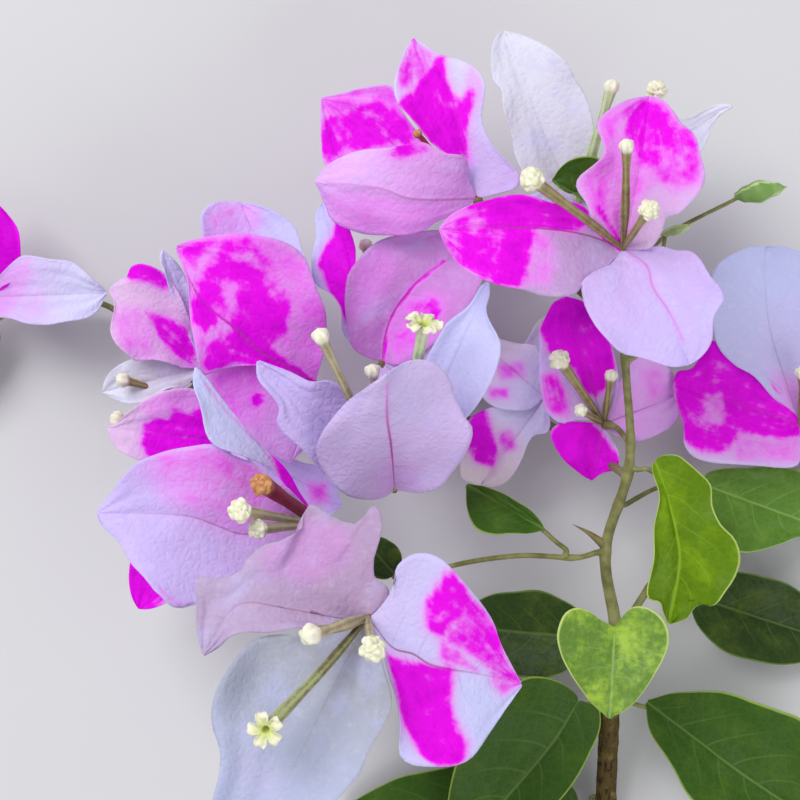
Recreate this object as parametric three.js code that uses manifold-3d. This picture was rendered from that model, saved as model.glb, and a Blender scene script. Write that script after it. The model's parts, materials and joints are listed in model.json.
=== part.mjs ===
/**
 * Bougainvillea: a cut flowering spray, laid on its back.
 *
 * Millimetres, +Z up. X runs across the spray and Y from the cut end towards the crown. A main stem
 * rises from its cut end, boughs fork from it, and each carries blooms: three papery bracts round
 * three slim flowers. Leaves stand on the stem and the boughs by their own stalks.
 *
 * Every organ is one rule fed with a few sizes:
 *   blade   a bract or a leaf, a thin curved sheet from its foot to its tip
 *   limb    a stem, a bough, a stalk or a flower, a tapering tube along a curve
 * Each bloom, leaf and limb is one closed solid, and neighbours keep CLEARANCE between them.
 */
import * as THREE from "three";
import { mergeVertices } from "three/addons/utils/BufferGeometryUtils.js";
import Module from "manifold-3d";

const wasm = await Module();
wasm.setup();

const CLEARANCE = 0.3; // between a stalk and the limb that carries it

/**
 * A blade's sheet: its thickness, its grid, and the least width at its ends as a share. rise and
 * fall are the powers that round its foot and draw out its tip. A blade may set its own.
 */
const BRACT = { thickness: 0.8, rows: 6, columns: 4, least: 0.07, rise: 0.42, fall: 0.6 };
const LEAF = { thickness: 0.8, rows: 7, columns: 4, least: 0.07, rise: 0.5, fall: 0.8 };
const HEART_LEAF = { thickness: 0.8, rows: 9, columns: 6, least: 0.1, rise: 0.22, fall: 0.7 };

const CUP = 14; // degrees that each half of a blade curls, from its midrib to its rim
const RIMWARD_POWER = 1.4; // how a lobe or a skew grows from the midrib to the rim
const LOBE_POWER = 4; // how fast a lobe dies away along the blade

const STALK_RADIUS = 0.6;
const PETIOLE_RADIUS = 0.55;
const STALK_SIDES = 5;
const STALK_STEPS = 4;
const STALK_ROOT = 0.6; // a stalk or a bough leaves its limb at a right angle for this far
const PETIOLE_OVERLAP = 0.06; // the share of a leaf's blade that its stalk runs on under
const KNOB_RADIUS = 1.15; // the swelling where bracts, flowers and stalk meet
const THORN = { radius: 0.8, taper: 0.85, sides: 6 };

/** A flower's radius at shares of its length: a swollen foot, a waist, and the mouth. */
const FLOWER_PROFILES = {
  open: [[0, 0.5], [0.3, 1.15], [0.62, 0.8], [0.91, 1.1], [1, 2.3]],
  bud: [[0, 0.5], [0.35, 1.05], [0.66, 0.75], [0.9, 1.4], [1, 0.8]],
};
const FLOWER_SIDES = 5;
const FLOWER_BEND = { at: 0.45, lift: 0.05 }; // where a flower bows up, and by what share of its length

/** A closed shoot's radius at shares of its length, as a share of its full radius. */
const SPINDLE = [[0, 0.3], [0.25, 0.8], [0.5, 1], [0.8, 0.6], [1, 0.15]];
const SPINDLE_SIDES = 6;
const SPINDLE_OVERLAP = 0.2; // the share of a shoot that its stalk runs on inside

const COLOURS = {
  bark: { color: 0x7a5f43, roughness: 0.9, metalness: 0 },
  green_stem: { color: 0x8a9152, roughness: 0.75, metalness: 0 },
  bract: { color: 0xd9a9ea, roughness: 0.6, metalness: 0 },
  leaf: { color: 0x4f8a2c, roughness: 0.45, metalness: 0 },
  bud: { color: 0xa9c878, roughness: 0.6, metalness: 0 },
};

/** The limbs, each from its thick end. A bough starts on the limb that its fork names. */
const LIMBS = [
  {
    name: "main_stem",
    material: "bark",
    radii: [1.95, 1.35, 1],
    sides: 8,
    steps: 16,
    route: [
      [39.5, -87.5, 2.4], [39.8, -62, 10], [40.5, -44, 16.5], [38, -28, 22], [42, -12, 26],
      [41, 5, 30], [39.5, 18, 34],
    ],
    thorns: [{ at: 0.575, tip: [32, -24, 25.5] }],
  },
  {
    name: "bough_lower",
    material: "green_stem",
    fork: { from: "main_stem", at: 0.53 },
    radii: [0.8, 0.6],
    sides: 6,
    steps: 9,
    route: [[32, -28, 23.5], [22, -28.5, 26], [9, -30, 32], [1, -32.5, 40], [-3.5, -35.5, 48]],
  },
  {
    name: "bough_middle",
    material: "green_stem",
    fork: { from: "main_stem", at: 0.7 },
    radii: [0.95, 0.85],
    sides: 6,
    steps: 8,
    route: [[36, -12, 19], [30, -10, 16.5], [15, -7.5, 15], [0, -4.5, 17], [-11, -3.5, 18]],
  },
  {
    name: "bough_far",
    material: "green_stem",
    fork: { from: "bough_middle", at: 1 },
    radii: [0.85, 0.65],
    sides: 6,
    steps: 9,
    route: [[-24.5, -2, 18], [-34.5, 1.5, 15], [-47.5, 7.5, 9], [-65, 13.5, 7], [-77, 18, 9]],
  },
  {
    name: "bough_crown",
    material: "green_stem",
    fork: { from: "main_stem", at: 0.95 },
    radii: [0.85, 0.7],
    sides: 6,
    steps: 6,
    route: [[34, 19, 25], [28, 25, 20], [22, 31, 21], [18, 34.5, 25]],
  },
  {
    name: "bough_right",
    material: "green_stem",
    fork: { from: "main_stem", at: 0.42 },
    radii: [0.85, 0.75],
    sides: 6,
    steps: 7,
    route: [[48.5, -34, 12], [60, -25, 8], [69.5, -13.5, 8], [74, -8.5, 10]],
  },
];

/**
 * The blooms. foot is where the bracts meet; stalk says which limb carries the bloom, how far along
 * it, and by which way. Angles are in degrees, other shape values are shares of the blade's length.
 */
const BLOOMS = [
  {
    name: "bloom_crown_front",
    foot: [39, 26.5, 44],
    stalk: { from: "main_stem", at: 1, via: [39.3, 23, 39] },
    bracts: [
      { tip: [7, 29, 52], width: 18.5, fold: 10, arch: 0.05, sway: -0.04, rise: 0.5, fall: 0.55 },
      { tip: [43.3, 52.6, 48], width: 22, fold: 14, arch: 0.08, rise: 0.4, fall: 0.4 },
      { tip: [51.7, 5, 46], width: 22.5, fold: 6, arch: 0.08, rise: 0.25, fall: 0.5, lobe: 0.25 },
    ],
    flowers: [
      { mouth: [22.5, 37, 58], kind: "open" },
      { mouth: [38, 43.5, 61], kind: "bud" },
      { mouth: [42, 32, 57], kind: "open" },
    ],
  },
  {
    name: "bloom_crown_white",
    foot: [32, 35.5, 30],
    stalk: { from: "main_stem", at: 0.97, via: [36, 26, 30] },
    bracts: [
      { tip: [19, 67.3, 28], width: 14.5, right: 1.22, left: 0.76, fold: 10, arch: 0.05, fall: 0.3 },
      { tip: [60.5, 53.5, 30], width: 17, fold: 12, arch: -0.08, fall: 1.1 },
      { tip: [19, 21.5, 29], width: 16, fold: 8, arch: 0.04 },
    ],
    flowers: [
      { mouth: [38, 57, 38], kind: "bud" },
      { mouth: [45.5, 55, 37], kind: "open" },
    ],
  },
  {
    name: "bloom_crown_left",
    foot: [14, 36.5, 31],
    stalk: { from: "bough_crown", at: 1, via: [14.7, 35.2, 29] },
    bracts: [
      { tip: [-14.5, 54, 26], width: 18, fold: 8, arch: 0.04, fall: 0.4 },
      { tip: [2.2, 66.3, 27], width: 16.5, right: 1.16, left: 0.84, fold: 14, arch: 0.06, rise: 0.3 },
      { tip: [-15, 40, 34], width: 17, facing: [0, 0.5, -1], fold: 14, arch: -0.14, fall: 0.5 },
    ],
    flowers: [{ mouth: [2.5, 48, 38], kind: "bud" }],
  },
  {
    name: "bloom_heart_back",
    foot: [-3.3, 7, 24],
    stalk: { from: "bough_middle", at: 0.86, via: [-4, 2, 20.5] },
    bracts: [
      { tip: [13.2, 29.8, 23], width: 26, left: 1.2, right: 0.8, fold: 4, arch: 0.06, rise: 0.3 },
      { tip: [-14, 34, 23], width: 14, roll: -15, fold: 6, arch: 0.04 },
      { tip: [10, -5, 20], width: 17, fold: 8, arch: 0.04 },
    ],
    flowers: [
      { mouth: [-6.5, 28.5, 33], kind: "bud" },
      { mouth: [6, 17, 37], kind: "open" },
    ],
  },
  {
    name: "bloom_heart_front",
    foot: [-1, -16.3, 30],
    stalk: { from: "bough_middle", at: 0.78, via: [0, -11, 22] },
    bracts: [
      {
        tip: [-2, 5.5, 56], width: 34, right: 1.18, left: 0.88, facing: [0, 0.8, -0.6],
        fold: 8, arch: -0.1, lobe: 0.4, rise: 0.24, fall: 0.4,
      },
      { tip: [-24.5, 6.5, 46], width: 19, left: 0.85, fold: 10, arch: 0.03, fall: 0.4 },
      { tip: [15.5, 20.8, 40], width: 17, fold: 12, arch: 0.05, rise: 0.7, fall: 0.8 },
    ],
    flowers: [
      { mouth: [-14, 12, 56], kind: "bud" },
      { mouth: [-4.5, 6, 60], kind: "bud" },
      { mouth: [4, 12.5, 52], kind: "open" },
    ],
  },
  {
    name: "bloom_left_magenta",
    foot: [-15.5, 3, 27],
    stalk: { from: "bough_far", at: 0.04, via: [-15, -1.5, 21] },
    bracts: [
      { tip: [-38, 25, 34], width: 27, right: 1.2, left: 0.8, fold: 6, arch: 0.08, fall: 0.4 },
      { tip: [-28.5, 36.3, 23], width: 20, fold: 6, arch: 0.02, fall: 0.35 },
      { tip: [-25.5, -11, 24.5], width: 18, fold: 6, arch: 0.03 },
    ],
    flowers: [{ mouth: [-19, 0, 37], kind: "bud" }],
  },
  {
    name: "bloom_lower_left",
    foot: [-14, -22, 38],
    stalk: { from: "bough_lower", at: 0.82, via: [-6, -27, 36] },
    bracts: [
      { tip: [-52.5, -19.5, 48], width: 29, right: 0.9, left: 1.1, fold: 8, arch: 0.06, rise: 0.55 },
      { tip: [-41.5, -35.5, 41], width: 17, fold: 8, arch: 0.04 },
      { tip: [-35.5, 5, 50], width: 11, roll: 65, fold: 4, arch: 0.02 },
    ],
    flowers: [
      { mouth: [-23.5, -14.5, 52], kind: "bud" },
      { mouth: [-27, -19.5, 56], kind: "open" },
      { mouth: [-24, -22, 53], kind: "open" },
    ],
  },
  {
    name: "bloom_front",
    foot: [-5.5, -37, 54],
    stalk: { from: "bough_lower", at: 1, via: [-4.5, -36.3, 51] },
    bracts: [
      { tip: [-25.3, -76.8, 58], width: 28, right: 1.22, left: 0.76, fold: 10, arch: 0.05, fall: 0.7 },
      {
        tip: [21, -49.5, 45], width: 34, right: 1.12, left: 0.88, fold: 8, arch: 0.12,
        skew: -0.2, rise: 0.35, fall: 0.55,
      },
      {
        tip: [-33.5, -42.5, 58], width: 36, left: 0.28, roll: 14, fold: 14, arch: 0.04,
        lobe: 0.35, rise: 0.2, fall: 0.5,
      },
    ],
    flowers: [
      { mouth: [-22, -54, 68], kind: "open" },
      { mouth: [-16, -39, 67], kind: "bud" },
      { mouth: [-4.5, -40.5, 70], kind: "open" },
    ],
  },
  {
    name: "bloom_left_pink",
    foot: [-36.5, 6, 20],
    stalk: { from: "bough_far", at: 0.4, via: [-36.5, 4, 17.5] },
    bracts: [
      { tip: [-54, 20.5, 24], width: 19, fold: 8, arch: 0.06, fall: 0.45 },
      { tip: [-43.5, 27.7, 26], width: 14, roll: 50, fold: 8, arch: 0.04 },
      { tip: [-56, 0.5, 16], width: 15, fold: 10, arch: 0.06 },
    ],
    flowers: [{ mouth: [-52.5, 4, 26], kind: "bud" }],
  },
  {
    name: "bloom_left_low",
    foot: [-31, -8, 21],
    stalk: { from: "bough_far", at: 0.27, via: [-31.5, -4, 18] },
    bracts: [
      { tip: [-54, -5, 26], width: 15, fold: 8, arch: 0.06 },
      { tip: [-48.5, -38.7, 20], width: 17, fold: 8, arch: 0.02 },
      { tip: [-20, -23, 15], width: 15, fold: 8, arch: 0.04 },
    ],
    flowers: [],
  },
  {
    name: "bloom_far_left",
    foot: [-80, 19.5, 12],
    stalk: { from: "bough_far", at: 1, via: [-79, 19, 10.8] },
    bracts: [
      { tip: [-55, 20, 16], width: 15, fold: 10, arch: 0.08 },
      { tip: [-77, 38, 13], width: 14, fold: 12, arch: 0.06 },
      { tip: [-99, 10.5, 1], width: 15, fold: 8, arch: 0.12 },
    ],
    flowers: [{ mouth: [-84, 28, 24], kind: "open" }],
  },
  {
    name: "bloom_back_cream",
    foot: [27.5, 0.5, 12],
    stalk: { from: "bough_middle", at: 0.35, via: [27, -5, 13] },
    bracts: [
      { tip: [15, -16.5, 1.5], width: 17, fold: 8, arch: 0.1 },
      { tip: [13, 13, 10], width: 18, fold: 8, arch: 0.06 },
      { tip: [34, 17, 1.5], width: 15, fold: 8, arch: 0.04 },
    ],
    flowers: [],
  },
  {
    name: "bloom_behind_stem",
    foot: [38, -4.5, 18],
    stalk: { from: "main_stem", at: 0.76, via: [40, -5, 21] },
    bracts: [
      { tip: [31, 19, 17], width: 16, fold: 8, arch: 0.04 },
      { tip: [37.5, -15, 1.5], width: 15, fold: 6, arch: 0.1 },
      { tip: [52, 4, 14], width: 16, fold: 8, arch: 0.04 },
    ],
    flowers: [
      { mouth: [29.5, 7, 26], kind: "open" },
      { mouth: [32.5, -1.5, 26], kind: "bud" },
    ],
  },
  {
    name: "bloom_right",
    foot: [75.5, -4.5, 14],
    stalk: { from: "bough_right", at: 1, via: [75, -6.5, 12] },
    bracts: [
      { tip: [67.5, 28.5, 20], width: 24, fold: 8, arch: 0.08, fall: 0.35 },
      { tip: [50.5, 2, 17], width: 24, fold: 8, arch: 0.06 },
      { tip: [93, -12, 1], width: 17, fold: 8, arch: 0.02 },
    ],
    flowers: [
      { mouth: [82, 8, 30], kind: "open" },
      { mouth: [74, 6, 32], kind: "bud" },
    ],
  },
];

/** The leaves, each with its own stalk from the limb that carries it to the foot of its blade. */
const LEAVES = [
  {
    name: "leaf_heart",
    form: HEART_LEAF,
    foot: [39, -41.2, 30],
    stalk: { from: "main_stem", at: 0.37, via: [39.8, -43, 24] },
    blade: { tip: [37.5, -57.3, 33], width: 20, fold: 4, arch: 0.04, lobe: 0.42 },
  },
  {
    name: "leaf_bright",
    form: LEAF,
    foot: [46.5, -11, 28],
    stalk: { from: "main_stem", at: 0.7, via: [44.8, -10.8, 28] },
    blade: {
      tip: [49.2, -40.8, 26], width: 20, left: 1.16, right: 0.48, fold: 8, arch: 0.06,
      sway: -0.07, rise: 0.55, fall: 0.45,
    },
  },
  {
    name: "leaf_right_back",
    form: LEAF,
    foot: [57.5, -16, 12.5],
    stalk: { from: "main_stem", at: 0.65, via: [50, -16, 16] },
    blade: { tip: [89, -27.5, 7.5], width: 19, fold: 6, arch: 0.02 },
  },
  {
    name: "leaf_right_low",
    form: LEAF,
    foot: [56, -37.5, 8],
    stalk: { from: "bough_right", at: 0.22, via: [52.5, -36, 9.5] },
    blade: { tip: [86, -47.5, 1.2], width: 17, fold: 8, arch: 0.06 },
  },
  {
    name: "leaf_foot_right",
    form: LEAF,
    foot: [46.5, -57, 12],
    stalk: { from: "main_stem", at: 0.31, via: [43.5, -57, 12.8] },
    blade: { tip: [78, -80, 6], width: 25, fold: 8, arch: 0.05, lobe: 0.05, rise: 0.4 },
  },
  {
    name: "leaf_foot_left",
    form: LEAF,
    foot: [34, -57, 10.5],
    stalk: { from: "main_stem", at: 0.3, via: [37, -57, 11.2] },
    blade: { tip: [11, -86.5, 9], width: 24, left: 0.9, fold: 8, arch: 0.05, lobe: 0.05, rise: 0.4 },
  },
  {
    name: "leaf_back_left",
    form: LEAF,
    foot: [36, -45, 12.5],
    stalk: { from: "main_stem", at: 0.42, via: [38, -45, 13.8] },
    blade: { tip: [10, -43.5, 1.5], width: 17, fold: 8, arch: 0.08 },
  },
  {
    name: "leaf_foot_low",
    form: LEAF,
    foot: [34.5, -78, 3.2],
    stalk: { from: "main_stem", at: 0.1, via: [36.8, -77.6, 4] },
    blade: { tip: [-10, -79, 1.2], width: 18, fold: 5, arch: 0.03 },
  },
  {
    name: "leaf_bough_lower",
    form: LEAF,
    foot: [22, -21.5, 25.5],
    stalk: { from: "bough_lower", at: 0.2, via: [25, -24.5, 25.5] },
    blade: { tip: [10, -14.5, 19.5], width: 9, roll: 35, fold: 10, arch: 0.05 },
  },
  {
    name: "leaf_small_dark",
    form: LEAF,
    foot: [-1, -30.5, 43],
    stalk: { from: "bough_lower", at: 0.86, via: [-0.5, -32, 42] },
    blade: { tip: [-7, -24, 44], width: 7, roll: 20, fold: 10, arch: 0.05 },
  },
  {
    name: "leaf_crown",
    form: LEAF,
    foot: [37, 33, 37],
    stalk: { from: "main_stem", at: 0.99, via: [38, 27, 36.5] },
    blade: { tip: [23.5, 40, 37], width: 9, fold: 12, arch: 0.05 },
  },
  {
    name: "leaf_far_left",
    form: LEAF,
    foot: [-78, 14, 7],
    stalk: { from: "bough_far", at: 0.93, via: [-77, 15.5, 7] },
    blade: { tip: [-90, -9, 1.5], width: 14, fold: 8, arch: 0.06 },
  },
];

/** Young shoots at the crown: a thin twig that ends in a closed spindle of folded bracts. */
const SHOOTS = [
  {
    name: "shoot_long",
    stalk: { from: "main_stem", at: 0.98, via: [45, 27, 33] },
    foot: [60, 36.5, 35],
    tip: [69, 38, 37],
    radius: 2.1,
  },
  {
    name: "shoot_short",
    stalk: { from: "main_stem", at: 0.9, via: [45.5, 16, 33] },
    foot: [46.5, 29.5, 37],
    tip: [52, 31, 38],
    radius: 1,
  },
];

const vector = (place) => new THREE.Vector3(...place);
const radians = THREE.MathUtils.degToRad;

/** A geometry's shared vertices merged, as a solid that can be joined and cut. */
function solidOf(geometry) {
  const bare = geometry.clone();
  bare.deleteAttribute("normal");
  bare.deleteAttribute("uv");
  const merged = mergeVertices(bare, 1e-4);
  return new wasm.Manifold(
    new wasm.Mesh({
      numProp: 3,
      vertProperties: merged.attributes.position.array,
      triVerts: new Uint32Array(merged.index.array),
    }),
  );
}

/** A solid's vertices and triangles as a geometry. */
function geometryOf(solid) {
  const mesh = solid.getMesh();
  const geometry = new THREE.BufferGeometry();
  geometry.setAttribute("position", new THREE.BufferAttribute(mesh.vertProperties, 3));
  geometry.setIndex(new THREE.BufferAttribute(mesh.triVerts, 1));
  geometry.computeVertexNormals();
  return geometry;
}

/** Several geometries fused into one closed body. */
function fuse(geometries) {
  return geometryOf(geometries.map(solidOf).reduce((whole, piece) => whole.add(piece)));
}

/** Points and triangles as a geometry with an index. */
function indexed(points, triangles) {
  const geometry = new THREE.BufferGeometry().setFromPoints(points);
  geometry.setIndex(triangles);
  return geometry;
}

/** The value at a share from 0 to 1 of a list of [share, value] pairs, straight between them. */
function interpolate(pairs, share) {
  const next = Math.max(1, pairs.findIndex(([at]) => at >= share));
  const [[from, low], [to, high]] = [pairs[next - 1], pairs[next]];
  return low + ((high - low) * (share - from)) / (to - from);
}

/** A list of values spread evenly from 0 to 1, as [share, value] pairs. */
function spread(values) {
  return values.map((value, index) => [index / (values.length - 1), value]);
}

/**
 * A tapering tube with flat ends along a curve.
 * stations are shares of the curve's length, and radiusAt gives the radius at a share.
 */
function tube(curve, stations, radiusAt, sides) {
  const points = [];
  const across = new THREE.Vector3(0.31, 0.17, 0.93);
  for (const share of stations) {
    const tangent = curve.getTangentAt(share);
    across.addScaledVector(tangent, -across.dot(tangent)).normalize();
    const beside = tangent.clone().cross(across);
    for (let side = 0; side < sides; side++) {
      const turn = (2 * Math.PI * side) / sides;
      points.push(
        curve
          .getPointAt(share)
          .addScaledVector(across, radiusAt(share) * Math.cos(turn))
          .addScaledVector(beside, radiusAt(share) * Math.sin(turn)),
      );
    }
  }
  const triangles = [];
  const last = sides * (stations.length - 1);
  for (let ring = 0; ring < last; ring += sides) {
    for (let side = 0; side < sides; side++) {
      const next = (side + 1) % sides;
      triangles.push(ring + side, ring + next, ring + sides + side);
      triangles.push(ring + next, ring + sides + next, ring + sides + side);
    }
  }
  for (let side = 1; side < sides - 1; side++) {
    triangles.push(0, side + 1, side, last, last + side, last + side + 1);
  }
  return indexed(points, triangles);
}

const evenStations = (steps) => Array.from({ length: steps + 1 }, (_, step) => step / steps);
const curveThrough = (points) => new THREE.CatmullRomCurve3(points, false, "centripetal");

/** A blade's width at a share of its length, from least to 1: round at the foot, drawn out at the tip. */
function relativeWidth({ rise, fall, least }, share) {
  const peak = rise / (rise + fall);
  const shape = (at) => Math.pow(at, rise) * Math.pow(1 - at, fall);
  return Math.max(least, shape(share) / shape(peak));
}

/**
 * The middle surface of a blade, as a function of the share along it and of the side, -1 to 1.
 * fold raises both halves off the midrib, and cup curls them on up to their rims. arch bows the
 * midrib towards the side it faces, and sway bows it sideways. lobe draws the rim back beside the
 * foot, as on a heart, and skew slides the right half back and the left half on.
 */
function bladeSurface(form, foot, blade) {
  const { width, fold = 0, roll = 0, arch = 0, sway = 0, lobe = 0, skew = 0, left = 1, right = 1 } = blade;
  const outline = { ...form, rise: blade.rise ?? form.rise, fall: blade.fall ?? form.fall };
  const start = vector(foot);
  const chord = vector(blade.tip).sub(start);
  const length = chord.length();
  const along = chord.clone().normalize();
  const face = vector(blade.facing ?? [0, 0, 1]);
  face.addScaledVector(along, -face.dot(along)).normalize();
  face.applyAxisAngle(along, radians(roll));
  const side = along.clone().cross(face);
  return (share, across) => {
    const slope = Math.atan(arch * 4 * (1 - 2 * share));
    const tangent = along.clone().applyAxisAngle(side, slope);
    const normal = face.clone().applyAxisAngle(side, slope);
    const bow = length * 4 * share * (1 - share);
    const edge = Math.abs(across);
    const full = relativeWidth(outline, share);
    const reach = (edge * width * full * (across < 0 ? left : right)) / 2;
    const lift = radians(fold + (CUP * edge) / 2);
    const lobed = lobe * length * full * Math.pow(1 - share, LOBE_POWER);
    const back = Math.pow(edge, RIMWARD_POWER) * (lobed + skew * Math.sign(across) * bow);
    return start
      .clone()
      .addScaledVector(chord, share)
      .addScaledVector(face, arch * bow)
      .addScaledVector(side, sway * bow + Math.sign(across) * reach * Math.cos(lift))
      .addScaledVector(normal, reach * Math.sin(lift))
      .addScaledVector(tangent, -back);
  };
}

/** A bract or a leaf as a thin closed sheet of even thickness. */
function bladeGeometry(form, foot, blade) {
  const { rows, columns, thickness } = form;
  const surface = bladeSurface(form, foot, blade);
  const width = columns + 1;
  const sheet = (rows + 1) * width;
  const points = new Array(2 * sheet);
  const nudge = 1e-3;
  for (let row = 0; row <= rows; row++) {
    const share = (1 - Math.cos((Math.PI * row) / rows)) / 2;
    for (let column = 0; column <= columns; column++) {
      const across = (2 * column) / columns - 1;
      const here = surface(share, across);
      const along = surface(Math.min(1, share + nudge), across).sub(
        surface(Math.max(0, share - nudge), across),
      );
      const beside = surface(share, Math.min(1, across + nudge)).sub(
        surface(share, Math.max(-1, across - nudge)),
      );
      const normal = beside.cross(along).normalize();
      const index = row * width + column;
      points[index] = here.clone().addScaledVector(normal, thickness / 2);
      points[sheet + index] = here.addScaledVector(normal, -thickness / 2);
    }
  }
  const triangles = [];
  const quad = (a, b, c, d) => triangles.push(a, b, c, a, c, d);
  for (let row = 0; row < rows; row++) {
    for (let column = 0; column < columns; column++) {
      const corner = row * width + column;
      quad(corner, corner + 1, corner + width + 1, corner + width);
      quad(sheet + corner, sheet + corner + width, sheet + corner + width + 1, sheet + corner + 1);
    }
  }
  for (let row = 0; row < rows; row++) {
    const near = row * width;
    const far = near + columns;
    quad(near, near + width, sheet + near + width, sheet + near);
    quad(far, sheet + far, sheet + far + width, far + width);
  }
  for (let column = 0; column < columns; column++) {
    const end = rows * width + column;
    quad(column, sheet + column, sheet + column + 1, column + 1);
    quad(end, end + 1, sheet + end + 1, sheet + end);
  }
  return indexed(points, triangles);
}

/** A flower from the foot of its bloom to its mouth, bowed up a little. */
function flowerGeometry(foot, flower) {
  const start = vector(foot);
  const end = vector(flower.mouth);
  const middle = start.clone().lerp(end, FLOWER_BEND.at);
  middle.z += start.distanceTo(end) * FLOWER_BEND.lift;
  const profile = FLOWER_PROFILES[flower.kind];
  const stations = profile.map(([share]) => share);
  const curve = curveThrough([start, middle, end]);
  return tube(curve, stations, (share) => interpolate(profile, share), FLOWER_SIDES);
}

/** The swelling at a foot, which every piece of a bloom is sunk into. */
function knobGeometry(foot) {
  return new THREE.IcosahedronGeometry(KNOB_RADIUS, 0).translate(...foot);
}

const limbs = new Map(); // each limb's curve and radius, by its name

/** Where a stalk leaves the limb that carries it: CLEARANCE off the bark, or off the limb's end. */
function forkPoints({ from, at }, towards) {
  const { curve, radiusAt } = limbs.get(from);
  const centre = curve.getPointAt(at);
  const tangent = curve.getTangentAt(at);
  const outward = vector(towards).sub(centre);
  const offEnd = at === 1;
  if (offEnd) outward.copy(tangent);
  else outward.addScaledVector(tangent, -outward.dot(tangent));
  outward.normalize();
  const start = centre.addScaledVector(outward, CLEARANCE + (offEnd ? 0 : radiusAt(at)));
  return [start, start.clone().addScaledVector(outward, STALK_ROOT)];
}

/** A stalk from a limb, by way of one point, to the foot of a bloom or a leaf. */
function stalkGeometry(stalk, foot, radius) {
  const curve = curveThrough([...forkPoints(stalk, stalk.via), vector(stalk.via), vector(foot)]);
  return tube(curve, evenStations(STALK_STEPS), () => radius, STALK_SIDES);
}

/** A stem or a bough with its thorns. Its curve is kept for what it carries. */
function limbGeometry(limb) {
  const route = limb.route.map(vector);
  const points = limb.fork ? [...forkPoints(limb.fork, limb.route[0]), ...route] : route;
  const curve = curveThrough(points);
  const radii = spread(limb.radii);
  const radiusAt = (share) => interpolate(radii, share);
  limbs.set(limb.name, { curve, radiusAt });
  const thorns = (limb.thorns ?? []).map((thorn) => thornGeometry(limb, thorn));
  return fuse([tube(curve, evenStations(limb.steps), radiusAt, limb.sides), ...thorns]);
}

/** A thorn: a slim cone with its root sunk in the limb. */
function thornGeometry(limb, { at, tip }) {
  const curve = curveThrough([limbs.get(limb.name).curve.getPointAt(at), vector(tip)]);
  return tube(curve, [0, 1], (share) => THORN.radius * (1 - THORN.taper * share), THORN.sides);
}

/** A bloom: three bracts, the flowers and the stalk, all sunk into one knob. */
function bloomGeometry(bloom) {
  return fuse([
    knobGeometry(bloom.foot),
    stalkGeometry(bloom.stalk, bloom.foot, STALK_RADIUS),
    ...bloom.bracts.map((bract) => bladeGeometry(BRACT, bloom.foot, bract)),
    ...bloom.flowers.map((flower) => flowerGeometry(bloom.foot, flower)),
  ]);
}

/** A leaf: its blade and its stalk. */
function leafGeometry(leaf) {
  const into = vector(leaf.foot).lerp(vector(leaf.blade.tip), PETIOLE_OVERLAP).toArray();
  return fuse([
    stalkGeometry(leaf.stalk, into, PETIOLE_RADIUS),
    bladeGeometry(leaf.form, leaf.foot, leaf.blade),
  ]);
}

/** A young shoot: a closed spindle on its stalk. */
function shootGeometry(shoot) {
  const curve = curveThrough([vector(shoot.foot), vector(shoot.tip)]);
  const stations = SPINDLE.map(([share]) => share);
  const radiusAt = (share) => shoot.radius * interpolate(SPINDLE, share);
  const into = vector(shoot.foot).lerp(vector(shoot.tip), SPINDLE_OVERLAP).toArray();
  return fuse([
    stalkGeometry(shoot.stalk, into, PETIOLE_RADIUS),
    tube(curve, stations, radiusAt, SPINDLE_SIDES),
  ]);
}

const spray = new THREE.Group();

function addPiece(name, material, geometry) {
  const mesh = new THREE.Mesh(geometry, new THREE.MeshStandardMaterial(COLOURS[material]));
  mesh.name = name;
  spray.add(mesh);
}

for (const limb of LIMBS) addPiece(limb.name, limb.material, limbGeometry(limb));
for (const bloom of BLOOMS) addPiece(bloom.name, "bract", bloomGeometry(bloom));
for (const leaf of LEAVES) addPiece(leaf.name, "leaf", leafGeometry(leaf));
for (const shoot of SHOOTS) addPiece(shoot.name, "bud", shootGeometry(shoot));

// The spray lies on z = 0, and the middle of its footprint is the origin.
const extent = new THREE.Box3().setFromObject(spray);
const middle = extent.getCenter(new THREE.Vector3());
spray.position.set(-middle.x, -middle.y, -extent.min.z);

export default spray;
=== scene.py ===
"""Bougainvillea: the looks of a cut flowering spray that lies on its back.

A main stem rises from its cut end and boughs fork from it. They carry blooms of three papery bracts
round slim tube flowers, leaves on their own stalks, and closed young shoots. Each organ is a class
that holds its sizes, in millimetres, in the plan of the spray: X runs to the right, Y from the cut
end towards the crown, and Z up. The spray's own class puts that plan in its place in the frame.

The outlines of most blades and the stains of the bracts are given where the camera sees them, in a
picture that is 800 units wide.
"""

from __future__ import annotations

import json
import logging
import math
from dataclasses import dataclass, replace
from enum import Enum
from functools import reduce
from typing import Iterable, Sequence, Union

import bpy
import numpy as np
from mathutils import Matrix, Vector, noise

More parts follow.
